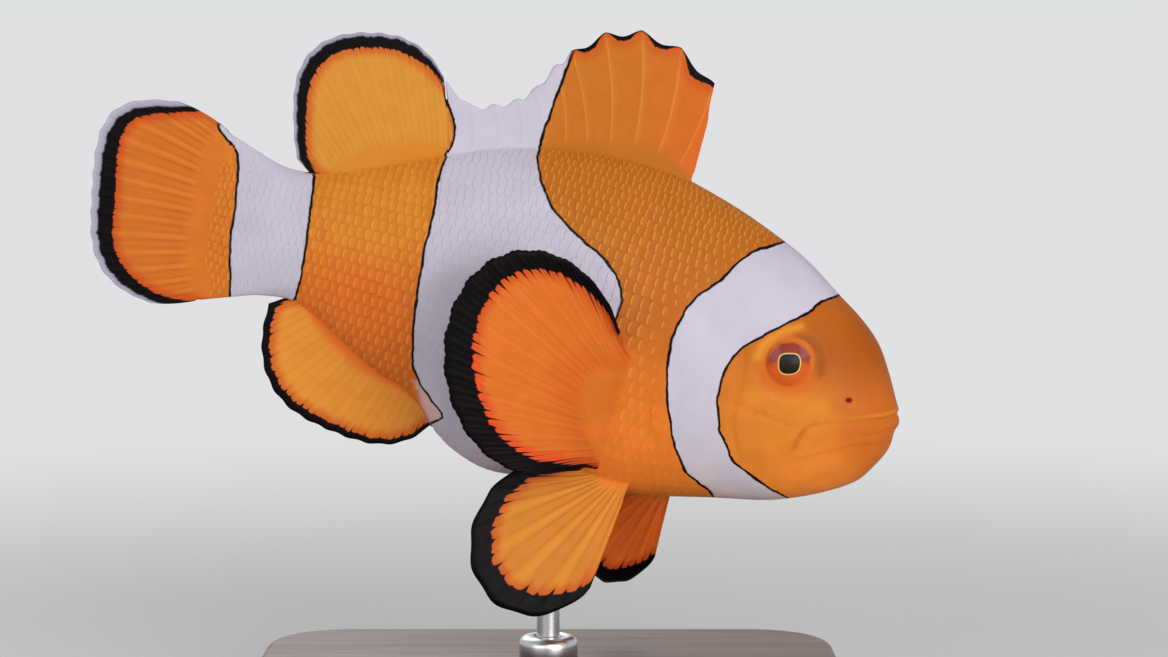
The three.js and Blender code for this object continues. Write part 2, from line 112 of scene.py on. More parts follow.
def place(along, up, out):
    # where (along, up, out) lies, as (x, y, z) in millimetres
    along, up, out = np.broadcast_arrays(*[np.asarray(v, float) for v in (along, up, out)])
    at = np.clip(along / midline["step"], 0, len(walkX) - 2)
    i = np.floor(at).astype(int)
    t = at - i
    pitch = walkPitch[i] * (1 - t) + walkPitch[i + 1] * t
    ahead = np.minimum(along, 0)
    x = walkX[i] * (1 - t) + walkX[i + 1] * t - ahead * np.cos(pitch)
    z = walkZ[i] * (1 - t) + walkZ[i + 1] * t + ahead * np.sin(pitch)
    reach = np.maximum(along - midline["sweepStart"], 0) / (midline["length"] - midline["sweepStart"])
    sideways = out + midline["tailSweep"] * reach ** 2
    return np.stack([x + up * np.sin(pitch), sideways, z + up * np.cos(pitch)], -1)


def lerp(a, b, t):
    return a + (b - a) * t


def smooth(low, high, value):
    t = np.clip((value - low) / (high - low), 0, 1)
    return t * t * (3 - 2 * t)


def lineDistance(x, y, line):
    # distance to a drawn line, the share of its length at the nearest place, and 1 to its left or -1
    best, share, side = np.full(np.shape(x), 1e9), np.zeros(np.shape(x)), np.ones(np.shape(x))
    parts = len(line) - 1
    for n, ((x0, y0), (x1, y1)) in enumerate(zip(line, line[1:])):
        dx, dy = x1 - x0, y1 - y0
        t = np.clip(((x - x0) * dx + (y - y0) * dy) / (dx * dx + dy * dy), 0, 1)
        d = np.hypot(x - x0 - t * dx, y - y0 - t * dy)
        share = np.where(d < best, (n + t) / parts, share)
        side = np.where(d < best, np.sign(dx * (y - y0) - dy * (x - x0)), side)
        best = np.minimum(d, best)
    return best, share, side


def bump(distance, width):
    return np.exp(-(distance / width) ** 2)


def crossing(line, up):
    # how far along the fish a line, drawn from its top down, crosses each height
    rows = np.array(line)[::-1]
    return np.interp(up, rows[:, 1], rows[:, 0])


def between(rows, at):
    # straight from each (place, value) row to the next
    return np.interp(at, *zip(*rows))


# Each band's two edges, as (along, up) down the flank.
bands = dict(
    head=dict(
        front=[(10.2, 14), (11.4, 11.1), (13.2, 10.0), (14.0, 8.7), (16.5, 6.3), (18.2, 4.5), (19.9, 2.7),
               (20.7, 0.5), (20.8, -1.2), (20.6, -3.2), (19.2, -6.4), (16.5, -9.3), (12.7, -10.6),
               (9.1, -11.5), (6, -14)],
        rear=[(17.5, 17), (18.5, 14.7), (21.6, 12.7), (22.9, 11.0), (24.1, 8.6), (25.6, 6.8), (26.7, 4.8),
              (27.1, 1.2), (26.5, -2.0), (25.5, -5.0), (23.3, -9.2), (21.0, -11.9), (17.5, -13.3),
              (14, -17)]),
    middle=dict(
        front=[(45.7, 27.4), (46.0, 23.5), (46.3, 18.0), (46.2, 15.0), (45.2, 12.9), (43.5, 10.7),
               (41.4, 9.2), (38.8, 8.0), (36.3, 6.9), (34.4, 5.4), (33.4, 3.6), (33.4, 1.5), (34.6, -3),
               (36.4, -9), (37.6, -14), (38.2, -21)],
        rear=[(58.2, 24), (58.2, 20.7), (57.3, 19.7), (56.4, 18.0), (55.5, 16.7), (55.0, 15.5), (54.9, 14.0),
              (55.2, 12.0), (55.3, 10.0), (54.8, 6.8), (54.7, 2.4), (54.3, -1.8), (53.7, -6.1),
              (52.8, -9.8), (51.5, -11.7), (49.5, -13.2), (47.9, -14.3), (49.2, -15.8), (49.8, -17),
              (50, -20)]),
    tail=dict(
        front=[(68.6, 12), (68.2, 7.5), (67.8, 4.5), (67.3, -0.8), (67.2, -4.1), (67.9, -9)],
        rear=[(78.4, 13.0), (78.7, 10.6), (78.5, 10.0), (77.9, 9.4), (77.1, 8.7), (76.4, 7.8), (76.0, 6.4),
              (75.9, 4.9), (75.6, 1.3), (75.6, -0.9), (75.3, -3.6), (74.9, -5.7), (74.6, -10)]))


def bandField(along, up, names=tuple(bands)):
    # how far inside a white band a place is, in millimetres, and below zero outside
    inside = np.full(np.shape(along), -farOff)
    step = 0.4
    for band in (bands[name] for name in names):
        reach = []
        for edge, sign in (("front", 1), ("rear", -1)):
            line = band[edge]
            slope = (crossing(line, up + step) - crossing(line, up - step)) / (2 * step)
            reach.append(sign * (along - crossing(line, up)) / np.sqrt(1 + slope ** 2))
        inside = np.maximum(inside, np.minimum(*reach))
    return inside


# The dark forehead tone is partly the fish's own colour and partly painted shade.
tones = dict(  # where the orange differs: place along and up, and its colour there
    snout=(3, -1, (0.53, 0.123, 0.015)), cheek=(12, -3, (0.61, 0.20, 0.022)),
    forehead=(8, 7, (0.36, 0.080, 0.009)), temple=(13, 9, (0.42, 0.105, 0.010)),
    chin=(8, -9, (0.78, 0.225, 0.03)), nape=(28, 13, (0.41, 0.125, 0.013)),
    back=(38, 12, (0.43, 0.130, 0.013)), shoulder=(31, 4, (0.46, 0.118, 0.011)),
    flank=(33, -6, (0.58, 0.142, 0.017)), chest=(29, -11, (0.74, 0.18, 0.024)),
    rump=(61, 5, (0.60, 0.215, 0.021)), vent=(60, -5, (0.68, 0.135, 0.019)),
    tailRoot=(79, 0, (0.62, 0.165, 0.02)))
touches = dict(  # strokes of another colour: the line, half width, colour and strength
    brow=([(17.9, 2.3), (17.8, 3.6), (17.2, 4.6), (16.2, 5.7), (14.6, 6.7)], 0.5, (0.72, 0.28, 0.024), 0.75),
    browFold=([(17.3, 3.3), (16.7, 4.3), (15.7, 5.0), (14.6, 5.4)], 0.3, (0.60, 0.20, 0.02), 0.6),
    olive=([(14.2, 5.6), (13.0, 5.7), (11.9, 5.1), (11.2, 4.0), (11.0, 2.8)], 0.6,
           (0.27, 0.070, 0.005), 0.75),
    orbit=([(17.2, 1.4), (15.9, -0.1), (14.3, -0.5), (12.6, 0.1), (11.8, 1.6)], 0.8,
           (0.58, 0.095, 0.012), 0.6),
    # snoutRidge darkens partly in the fish's own colour and partly as painted shade.
    snoutRidge=([(1.5, 4.0), (3.6, 6.6), (6.4, 9.6)], 1.6, (0.30, 0.07, 0.006), 0.6),
    # lipHookShade is painted shade along the raised lip's hook at the mouth's corner.
    lipHookShade=([(10.6, -3.6), (10.9, -4.6), (10.9, -5.6)], 0.3, (0.44, 0.085, 0.009), 0.5),
    cheekGold=([(16.8, -1.6), (12, -1.2), (9.5, -0.6)], 0.9, (0.66, 0.235, 0.022), 0.5),
    # lipHighlight is a painted highlight along the upper lip's proud edge.
    lipHighlight=([(1.5, 1.35), (4.7, -0.15), (9.3, -2.05)], 0.22, (0.70, 0.26, 0.03), 0.55))
# thin pink skin ahead of the anal fin: its rear line, its reach forward and its lower end
pinkWeb = dict(rear=[(51.9, -12.2), (49.2, -16.5)], reach=(5.5, 4.8), soft=0.25, end=-17.2,
               colour=(0.66, 0.43, 0.41))


def webShare(along, up):
    web = pinkWeb
    (x0, y0), (x1, y1) = web["rear"]
    ahead = x0 + (x1 - x0) * (up - y0) / (y1 - y0) - along
    share = smooth(-web["soft"], web["soft"], ahead) * smooth(*web["reach"], ahead)
    return share * (up < y0 + 0.6) * (up > web["end"])


def toneField(along, up):
    total, weights = np.zeros(np.shape(along) + (3,)), np.zeros(np.shape(along))
    for x, y, colour in tones.values():
        weight = 1 / (6 + (along - x) ** 2 + (up - y) ** 2) ** 1.6  # the nearest places count most
        total += weight[..., None] * np.array(colour)
        weights += weight
    tone = total / weights[..., None]
    for line, width, colour, strength in touches.values():
        stroke = strength * bump(lineDistance(along, up, line)[0], width)
        tone = lerp(tone, np.array(colour), stroke[..., None])
    return lerp(tone, np.array(pinkWeb["colour"]), webShare(along, up)[..., None])


def addPiece(name, data):
    piece = bpy.data.objects.new(name, data)
    bpy.context.scene.collection.objects.link(piece)
    return piece


def buildMesh(name, points, faces, fields, colours=None):
    mesh = bpy.data.meshes.new(name)
    faces = [np.asarray(f, np.int64) for f in faces if len(f)]
    sizes = np.concatenate([np.full(len(f), f.shape[1]) for f in faces])
    loops = np.concatenate([f.ravel() for f in faces])
    mesh.vertices.add(len(points))
    mesh.vertices.foreach_set("co", (np.asarray(points) * mm).astype(np.float32).ravel())
    mesh.loops.add(len(loops))
    mesh.loops.foreach_set("vertex_index", loops.astype(np.int32))
    mesh.polygons.add(len(sizes))
    mesh.polygons.foreach_set("loop_start", (np.cumsum(sizes) - sizes).astype(np.int32))
    mesh.polygons.foreach_set("use_smooth", np.full(len(sizes), True))
    mesh.update(calc_edges=True)
    mesh.validate()
    setFields(mesh, fields, colours)
    return addPiece(name, mesh)


def setFields(mesh, fields, colours=None):
    for name, values in fields.items():
        layer = mesh.attributes.new(name, "FLOAT", "POINT")
        layer.data.foreach_set("value", np.asarray(values, np.float32).ravel())
    for name, values in (colours or {}).items():
        full = np.ones((len(values), 4), np.float32)
        full[:, :3] = values
        mesh.attributes.new(name, "FLOAT_COLOR", "POINT").data.foreach_set("color", full.ravel())


def bodySurface(along, turn, grow):
    rises = np.sin(turn)
    middle = widestAt(along)
    reach = np.where(rises > 0, backAt(along) - middle, middle - bellyAt(along))
    sharpness = np.where(rises > 0, backSharpnessAt(along), bellySharpnessAt(along))
    out = (halfWidthAt(along) + grow) * np.abs(np.cos(turn)) ** (2 * sharpness) * np.sign(np.cos(turn))
    up = middle + rises * (reach + grow)
    jaw = bodyShape["jaw"]  # the lower jaw stands back from the upper lip
    setBack = jaw["setBack"] * smooth(*jaw["above"], up) * (1 - smooth(*jaw["behind"], along))
    return place(along + setBack, up, out), up


def bodyNormal(along, turn, grow):
    step, nudge = 0.05, 0.01
    ahead, behind = np.maximum(along - step, 0), along + step
    toTail = bodySurface(behind, turn, grow)[0] - bodySurface(ahead, turn, grow)[0]
    toTop = bodySurface(along, turn + nudge, grow)[0] - bodySurface(along, turn - nudge, grow)[0]
    normal = np.cross(toTail, toTop)
    return normal / np.maximum(np.linalg.norm(normal, axis=-1, keepdims=True), 1e-9)


def flankOut(along, up, sharpness=0.5):
    # half the body's width at a height
    widest = widestAt(along)
    reach = np.where(up > widest, backAt(along) - widest, widest - bellyAt(along))
    share = np.minimum(np.abs(up - widest) / reach, 1)
    return halfWidthAt(along) * (1 - share ** 2) ** sharpness


headRelief = dict(
    # a ledge: its line, height and reach of its upper bank, then depth and reach of its lower one
    ledges=dict(
        lip=([(0.4, 1.6), (1.5, 1.2), (2.5, 0.45), (4.7, -0.3), (6.5, -1.0), (9.0, -2.05), (9.9, -2.6),
              (10.5, -3.3), (10.85, -4.2), (10.95, -5.2), (10.8, -6.4)], 0.12, 1.3, 0.17, 0.5),
        jaw=([(1.2, -2.3), (3.6, -2.8), (5.2, -3.5), (7.1, -4.7), (8.4, -5.5), (9.7, -6.4), (10.8, -6.8)],
             0.08, 0.45, 0.035, 0.8),
        jowl=([(11.0, -4.4), (11.7, -5.6), (11.2, -7.0)], 0.05, 0.6, 0.06, 0.4)),
    mouth=dict(line=[(-0.3, -0.5), (0.9, -0.5), (1.7, -0.85), (2.7, -1.45), (4.8, -2.4), (7.4, -3.9)],
               slitDepth=0.2, slitHalf=0.16, lips=0.10, lipReach=0.8),
    nostril=dict(at=(7.1, 1.0), radius=0.3, depth=0.2, rim=0.05, rimHalf=0.25, squash=0.75),
    eye=dict(at=(14.5, 2.7), radius=2.45, rim=0.07, dip=1.0, orbit=4.1, fold=0.11),
    scallops=dict(start=(12.5, -2.9), stop=(18.3, -2.5), count=6, radius=0.62, height=0.15, half=0.2,
                  apart=0.14),
    # the hind edge of the cheek and of the gill cover, and the height of each step
    steps=dict(cheek=([(20.3, 5.6), (18.6, 0.5), (18.0, -5), (15.6, -9.4)], 0.12),
               gill=([(23.6, 8), (26.4, 3), (27.6, -2), (26.6, -7.5), (23.0, -12.6)], 0.06)))


def ledge(along, up, line, above, aboveReach, below, belowReach):
    d, share, side = lineDistance(along, up, line)
    high = smooth(-0.12, 0.12, d * side)
    ends = smooth(0, 0.05, share) * (1 - smooth(0.9, 1, share))
    return ends * (high * above * bump(d, aboveReach) - (1 - high) * below * bump(d, belowReach))


def headField(along, up):
    h = headRelief
    field = sum(ledge(along, up, *values) for values in h["ledges"].values())
    m = h["mouth"]
    d, share, _ = lineDistance(along, up, m["line"])
    slit = m["lips"] * bump(d, m["lipReach"]) - m["slitDepth"] * bump(d, m["slitHalf"])
    field += slit * (1 - smooth(0.4, 1.0, share))
    field *= smooth(0.0, 0.9, along)
    m = h["nostril"]
    spot = np.hypot((along - m["at"][0]) * m["squash"], up - m["at"][1])
    field += m["rim"] * bump(spot - m["radius"] * 1.9, m["rimHalf"]) - m["depth"] * bump(spot, m["radius"])
    m = h["eye"]
    gap = np.hypot(along - m["at"][0], up - m["at"][1])
    field += m["rim"] * bump(gap - m["radius"] - 0.45, 0.35)
    field += m["fold"] * (bump(gap - m["orbit"], 0.5) - 0.8 * bump(gap - m["orbit"] + 0.9, 0.45))
    field -= m["dip"] * (1 - smooth(m["radius"] - 0.4, m["radius"] + 0.1, gap))
    m = h["scallops"]
    for k in range(m["count"]):
        x, y = (lerp(m["start"][i], m["stop"][i], k / (m["count"] - 1)) for i in (0, 1))
        gap = np.hypot(along - x, up - y) - m["radius"]
        ridge = bump(gap + m["apart"], m["half"]) - bump(gap - m["apart"], m["half"])
        field += m["height"] * ridge * (up < y)
    for line, step in h["steps"].values():
        d, share, _ = lineDistance(along, up, line)
        ends = smooth(0, 0.2, share) * (1 - smooth(0.8, 1, share))
        field += step * ends * np.where(along < crossing(line, up), bump(d, 2.2), -0.7 * bump(d - 0.45, 0.5))
    return field


def bodyMesh():
    # a fine grid for the head, a coarser one behind it under the scales, and a strip between the two
    b = bodyShape
    share = np.arange(1, b["headStations"] + 1) / b["headStations"]
    grids = ((b["headEnd"] * share ** b["headCrowding"], b["headAround"]),
             (np.linspace(b["headEnd"], b["end"], b["bodyStations"] + 1)[1:], b["headAround"] // 2))
    points, alongs, ups, faces, rings, first = [], [], [], [], [], 1
    for stations, around in grids:
        a, t = np.meshgrid(stations, 2 * np.pi * np.arange(around) / around, indexing="ij")
        surface, up = bodySurface(a, t, -b["skinInside"])
        surface = surface + bodyNormal(a, t, -b["skinInside"]) * headField(a, up)[..., None]
        points.append(surface.reshape(-1, 3))
        alongs.append(a.ravel())
        ups.append(up.ravel())
        index = first + np.arange(a.size).reshape(a.shape)
        ahead = np.roll(index, -1, axis=1)
        faces.append(np.stack([index[:-1], index[1:], ahead[1:], ahead[:-1]], -1).reshape(-1, 4))
        rings.append((index[0], index[-1]))
        first += a.size
    (front, fine), (coarse, rear) = rings
    wide, narrow, after = fine[::2], fine[1::2], np.roll(fine[::2], -1)
    nextCoarse = np.roll(coarse, -1)
    strip = [(wide, coarse, narrow), (narrow, coarse, nextCoarse), (narrow, nextCoarse, after)]
    caps = [(np.zeros(len(front), int), front, np.roll(front, -1)),
            (np.full(len(rear), first), np.roll(rear, -1), rear)]
    tip = points[0][:b["headAround"]].mean(0)
    points = np.concatenate([tip[None], *points, place(b["end"], widestAt(b["end"]), 0)[None]])
    along = np.concatenate([[0.0], *alongs, [b["end"]]])
    up = np.concatenate([[widestAt(0)], *ups, [widestAt(b["end"])]])
    triangles = np.concatenate([np.stack(corners, -1) for corners in (*strip, *caps)])
    fields = dict(band=bandField(along, up))
    for name in ("margin", "clear"):
        fields[name] = np.full(len(points), farOff)
    for name in ("ray", "reach", "fin", "spine", "fray", "folds", "patches"):
        fields[name] = np.zeros(len(points))
    return buildMesh("skin", points, [*faces, triangles], fields, dict(tone=toneField(along, up)))


finShape = dict(edgeHalf=0.12, rootInside=1.2, scallop=0.22, spineHalf=0.13, spineWidth=0.06,
                thinning=0.6, hem=(0.96, 1), branching=(0.35, 0.75), branchShare=0.7, frontTone=(0, 0.35))
spineTips = [(30.4, 24.0), (31.0, 28.3), (35.4, 30.8), (39.7, 31.3), (43.2, 29.9), (45.9, 27.0), (47.1, 25.0),
             (48.5, 22.0), (49.9, 20.4), (52.0, 19.2), (54.0, 18.5), (57.2, 20.3)]


def lobe(centre, half, start, stop, squareness=(2, 2), tilt=0):
    # a rounded outline from one angle round to another
    def at(u):
        turn, power = np.radians(lerp(start, stop, u)), lerp(*squareness, u)
        c, s = np.cos(turn), np.sin(turn)
        reach = (np.abs(c) ** power + np.abs(s) ** power) ** (-1 / power)
        x, y, t = half[0] * reach * c, half[1] * reach * s, math.radians(tilt)
        return centre[0] + x * math.cos(t) - y * math.sin(t), centre[1] + x * math.sin(t) + y * math.cos(t)
    return at


def offRay(ray):
    # 0 on each ray and 1 halfway to the next
    return 0.5 - 0.5 * np.cos(2 * np.pi * ray)


def medianMiddle(root, tip, rays, dipDepth, bow=0.0, forward=0.0):
    # a fin in the body's middle plane: u runs from its first ray to its last, v from root to tip
    def middle(u, v):
        (x0, y0), (x1, y1) = root(u), tip(u)
        reach = v * (1 - dipDepth * offRay(rays * u) * v ** 4 / np.hypot(x1 - x0, y1 - y0))
        arch = 4 * v * (1 - v)
        ahead = forward * arch * smooth(0, 0.15, u) * smooth(1, 0.8, u)
        return lerp(x0, x1, reach) - ahead, lerp(y0, y1, reach) + bow * (1 - 2 * u) * arch, 0 * u
    return middle


def rootOn(edgeAt, start, stop, shift):
    # a root just inside the back or the belly
    def at(u):
        along = lerp(start, stop, u)
        return along, edgeAt(along) + shift
    return at


def tailRoot(u):
    # across the end of the tail stalk, just inside its edges
    along, belowBack, aboveBelly = 77.4, 0.06, 0.25
    return along + 0 * u, lerp(backAt(along) - belowBack, bellyAt(along) + aboveBelly, u)


def spineTip(u):
    tips, spans = np.array(spineTips), len(spineTips) - 1
    return tuple(np.interp(u * spans, np.arange(spans + 1), tips[:, k]) for k in (0, 1))


pectoral = dict(rootTop=(31.0, -2.1), rootBottom=(30.6, -14.6), sunk=0.8, lift=9.2, edgeLift=0.62,
                cupping=0.45, rays=15, teeth=0.07,
                edge=dict(centre=(40.3, -5.15), half=(9.35, 11.95), start=156, stop=-98, tilt=-24.6))


def pectoralMiddle(side):
    p = pectoral
    tip = lobe(**p["edge"])

    def middle(u, v):
        x0, y0 = (lerp(p["rootTop"][k], p["rootBottom"][k], u) for k in (0, 1))
        x1, y1 = tip(u)
        dip = finShape["scallop"] * offRay(p["rays"] * u) + p["teeth"] * np.cos(8 * np.pi * p["rays"] * u)
        reach = v - dip * v ** 6 / np.hypot(x1 - x0, y1 - y0)
        spread = lerp(p["edgeLift"], 1, np.sin(np.pi * u))
        lift = p["lift"] * spread * reach * (1 + p["cupping"] * (1 - reach))
        return lerp(x0, x1, reach), lerp(y0, y1, reach), side * (flankOut(x0, y0) - p["sunk"] + lift)
    return middle


pelvic = dict(rootOut=2.6, rootUp=-15, rootRun=3.4, rootDrop=0.4, dip=0.3, firstRay=12.4, lastRay=8.8,
              swell=8.5, swellShift=0.79, rays=6,
              right=dict(side=-1, along=26.2, swing=(3, 83), splay=18),
              left=dict(side=1, along=21.3, swing=(-9, 38), splay=43))


def pelvicMiddle(pose):
    p, splay = pelvic, math.radians(pose["splay"])

    def middle(u, v):
        back = np.radians(lerp(*pose["swing"], u))
        swell = p["swell"] * np.sin(np.pi * u ** p["swellShift"])
        dip = p["dip"] * offRay(p["rays"] * u) * v ** 4
        length = lerp(p["firstRay"], p["lastRay"], u) + swell - dip
        flat = v * length * math.cos(splay)
        return (pose["along"] + p["rootRun"] * u + flat * np.sin(back),
                p["rootUp"] - p["rootDrop"] * u - flat * np.cos(back),
                pose["side"] * (p["rootOut"] + v * length * math.sin(splay)))
    return middle


# black and clear give the edging's width at places round the outline: 0 to 1 up the first ray,
# 1 to 2 along the tips, 2 to 3 down the last ray. The rays start at rayStart, at the ends and the
# middle. A fin has these values where it doesn't say otherwise.
finUsual = dict(grid=(72, 28), rootHalf=0.7, pad=0, rayHalf=0.10, rayStart=(0.14, 0.14), rayFade=0.10,
                spines=False, fray=1.0, folds=0.35, patches=0.0, banded=(), clear=[(0, -1), (3, -1)])
pelvicFin = dict(
    rays=pelvic["rays"], rootHalf=0.9, rayHalf=0.2, fray=0.8, rayStart=(0.05, 0.05),
    black=[(0, -2), (0.85, -0.5), (1, 0.6), (1.15, 2.2), (1.35, 2.5), (1.6, 2.2), (2, 1.5), (2.35, 0.4),
           (2.5, -0.5), (3, -2)])
# flush is painted shade where the rays leave the fleshy root.
pectoralFin = dict(
    rays=pectoral["rays"], grid=(180, 30), folds=0.1, rayHalf=0.05, patches=0.75, pad=0.35,
    rayStart=(0.03, 0.21), rayFade=0.04, tone=(0.64, 0.139, 0.020), flush=(0.56, 0.09, 0.012),
    black=[(0, -1), (0.45, -0.4), (0.54, 0.12), (0.8, 0.35), (1, 0.8), (1.2, 1.8), (1.45, 2.8),
           (1.65, 2.9), (1.85, 2.1), (2, 1.0), (2.6, 0.45), (3, 0.25)])
softEdge = lobe((63.5, 14.3), (8.1, 9.4), 148.5, -26.5, (2.2, 2.85), -11)
analEdge = lobe((59, -8.8), (11.4, 10.8), -2, -152, (2.35, 2.85), 8.5)
tailEdge = lobe((80.6, 1.3), (11.1, 11.2), 76, -73, (4.4, 2.4))
inside = finShape["rootInside"]
fins = dict(
    spiny=dict(rays=11, grid=(132, 28),
               middle=medianMiddle(rootOn(backAt, 30.0, 54.9, -inside), spineTip, 11, 0.55, forward=0.65),
               rootHalf=0.8, spines=True, fray=0.12, banded=("middle",),
               tone=(0.50, 0.150, 0.016), front=(0.60, 0.122, 0.015),
               black=[(0, -2), (1.088, -2), (1.09, 0.45), (1.13, 0.8), (1.17, 0.5), (1.43, 0.5), (1.455, 0),
                      (1.46, -2), (3, -2)]),
    soft=dict(rays=13, middle=medianMiddle(rootOn(backAt, 54.4, 67.6, -inside), softEdge, 13, 0.14),
              grid=(104, 30), fray=0.3, folds=0.12, rayHalf=0.03, banded=("middle",),
              tone=(0.58, 0.255, 0.035),
              black=[(0, -1), (0.75, -1), (0.93, 0.1), (1.0, 0.4), (1.15, 1.4), (1.6, 1.75), (2, 1.1),
                     (2.7, 0.5), (3, 0.7)],
              clear=[(0, -1), (0.8, -0.3), (1, 0.1), (1.1, 0.3), (1.6, 0.5), (2, 0.3), (2.6, -0.2), (3, -1)]),
    anal=dict(rays=12, middle=medianMiddle(rootOn(bellyAt, 67.2, 48.8, inside), analEdge, 12, 0.16),
              grid=(96, 28), fray=0.4, folds=0.18, rayHalf=0.04, banded=("middle",), tone=(0.69, 0.26, 0.035),
              black=[(0, 0.5), (0.5, 0.3), (1, 0.8), (1.5, 0.9), (2, 0.4), (3, 0.12)]),
    caudal=dict(rays=14, middle=medianMiddle(tailRoot, tailEdge, 14, 0.14, bow=0.35), grid=(112, 34),
                rootHalf=0.6, fray=0.25, folds=1.0, rayHalf=0.17, rayStart=(0.18, 0.18), banded=("tail",),
                tone=(0.62, 0.165, 0.022),
                black=[(0, -1), (0.5, -0.4), (0.7, 0.4), (1, 1.2), (1.12, 1.7), (1.25, 2.35), (1.5, 2.7),
                       (1.8, 2.2), (2, 1.2), (2.6, 0.3), (2.8, 0), (3, -1)],
                clear=[(0, -1), (0.6, -0.3), (0.9, 0.3), (1, 0.6), (1.2, 0.95), (1.4, 0.9), (1.75, 0.75),
                       (2, 0.3), (2.4, -0.3), (3, -1)]),
    pelvicRight=dict(pelvicFin, middle=pelvicMiddle(pelvic["right"]), tone=(0.62, 0.235, 0.026), folds=1.0),
    # The left pelvic fin's brighter tone is painted light, for a fin that the body and the right fin shade.
    pelvicLeft=dict(pelvicFin, middle=pelvicMiddle(pelvic["left"]), tone=(1.0, 0.17, 0.023), folds=0.5),
    pectoralRight=dict(pectoralFin, middle=pectoralMiddle(-1)),
    pectoralLeft=dict(pectoralFin, middle=pectoralMiddle(1)))


def sheetFaces(across, outward):
    # the faces of a grid's two layers, and of the rim that closes them
    grid = np.arange((across + 1) * (outward + 1)).reshape(across + 1, outward + 1)
    near = np.stack([grid[:-1, :-1], grid[1:, :-1], grid[1:, 1:], grid[:-1, 1:]], -1).reshape(-1, 4)
    rim = np.concatenate([grid[:-1, 0], grid[-1, :-1], grid[:0:-1, -1], grid[0, :0:-1]])
    ahead, count = np.roll(rim, -1), grid.size
    return [near, near[:, ::-1] + count, np.stack([rim, rim + count, ahead + count, ahead], -1)]


def finMesh(name, fin):
    s, fin = finShape, {**finUsual, **fin}
    across, outward = fin["grid"]
    u, v = np.meshgrid(np.linspace(0, 1, across + 1), np.linspace(0, 1, outward + 1), indexing="ij")
    along, up, out = fin["middle"](u, v)
    middle = place(along, up, out)
    normal = np.cross(np.gradient(middle, axis=0), np.gradient(middle, axis=1))
    normal /= np.maximum(np.linalg.norm(normal, axis=-1, keepdims=True), 1e-9)
    ray = u * fin["rays"]
    arc = lerp(*fin["rayStart"], smooth(0.10, 0.40, u) * (1 - smooth(0.42, 1.05, u)))
    rayed = smooth(arc - 0.02, arc + fin["rayFade"], v)
    split = smooth(*s["branching"], v) * s["branchShare"]
    rib = fin["rayHalf"] * lerp(1 - offRay(ray), 1 - offRay(2 * ray), split)
    if fin["spines"]:
        rib = s["spineHalf"] * bump(ray - np.round(ray), s["spineWidth"])
    half = s["edgeHalf"] + (fin["rootHalf"] - s["edgeHalf"]) * (1 - v) ** 3
    half = half + fin["pad"] * smooth(0, 0.08, v) * (1 - smooth(arc - 0.035, arc + 0.015, v))
    half = half + rib * rayed * (1 - s["thinning"] * v)
    half *= 1 - s["thinning"] * smooth(*s["hem"], v)
    outline = np.concatenate([middle[0], middle[1:, -1], middle[-1, -2::-1]])
    at = np.concatenate([np.linspace(0, 1, outward + 1), np.linspace(1, 2, across + 1)[1:],
                         np.linspace(2, 3, outward + 1)[1:]])
    black = between(fin["black"], at)
    if fin["spines"]:  # the web's black fades toward each spine's tip
        web = (black > 0) & (at > 1.14) & (at < 2)
        black *= np.where(web, lerp(0.1, 1, np.sin(np.pi * fin["rays"] * (at - 1)) ** 2), 1)
    gaps = np.linalg.norm(middle.reshape(-1, 3)[:, None] - outline[None], axis=-1)
    stained = smooth(0.42, 0.58, u) * (1 - smooth(0.8, 0.92, u))
    fields = dict(
        margin=(gaps - black[None]).min(1), clear=(gaps - between(fin["clear"], at)[None]).min(1),
        ray=ray, reach=v, fin=rayed, spine=np.full(u.shape, float(fin["spines"])),
        fray=np.full(u.shape, fin["fray"]), folds=np.full(u.shape, fin["folds"]),
        patches=fin["patches"] * stained, band=bandField(along, up, fin["banded"]))
    front, rest = (np.array(fin.get(key, fin["tone"])) for key in ("front", "tone"))
    own = lerp(front, rest, smooth(*s["frontTone"], u)[..., None])
    tone = toneField(along, up) * (1 - rayed[..., None]) + own * rayed[..., None]
    if "flush" in fin:  # painted shade: darker and redder where the rays leave the fleshy root, under the root's ledge
        flush = 0.7 * rayed * (1 - smooth(arc + 0.03, arc + 0.28, v))
        tone = lerp(tone, np.array(fin["flush"]), flush[..., None])
    if name == "anal":
        tone = lerp(tone, np.array(pinkWeb["colour"]), webShare(along, up)[..., None])
    offset = normal * half[..., None]
    points = np.concatenate([(middle + offset).reshape(-1, 3), (middle - offset).reshape(-1, 3)])
    double = {key: np.tile(np.ravel(values), 2) for key, values in fields.items()}
    return buildMesh(name, points, sheetFaces(across, outward), double,
                     dict(tone=np.tile(tone.reshape(-1, 3), (2, 1))))


def readAll(items, field, width=1, kind=np.float32):
    values = np.zeros(len(items) * width, kind)
    items.foreach_get(field, values)
    return values.reshape(-1, width) if width > 1 else values


def fieldsOf(mesh):
    found = {}
    for a in mesh.attributes:
        if a.domain == "POINT" and a.data_type == "FLOAT":
            found[a.name] = readAll(a.data, "value")
        if a.domain == "POINT" and a.data_type == "FLOAT_COLOR":
            found[a.name] = readAll(a.data, "color", 4)
    return found


# how the joins between the body and its fins are smoothed
join = dict(rows=3, fading=0.75, passes=8, pull=0.6)


def softened(points, edges, origin):
    a, b = edges.T
    seam = np.zeros(len(points))
    across = origin[a] != origin[b]
    seam[a[across]] = seam[b[across]] = 1
    for _ in range(join["rows"]):
        grown = seam.copy()
        np.maximum.at(grown, a, seam[b] * join["fading"])
        np.maximum.at(grown, b, seam[a] * join["fading"])
        seam = grown
    for _ in range(join["passes"]):
        total, count = np.zeros_like(points), np.zeros(len(points))
        np.add.at(total, a, points[b])
        np.add.at(total, b, points[a])
        np.add.at(count, a, 1)
        np.add.at(count, b, 1)
        points = points + (total / count[:, None] - points) * (join["pull"] * seam)[:, None]
    return points


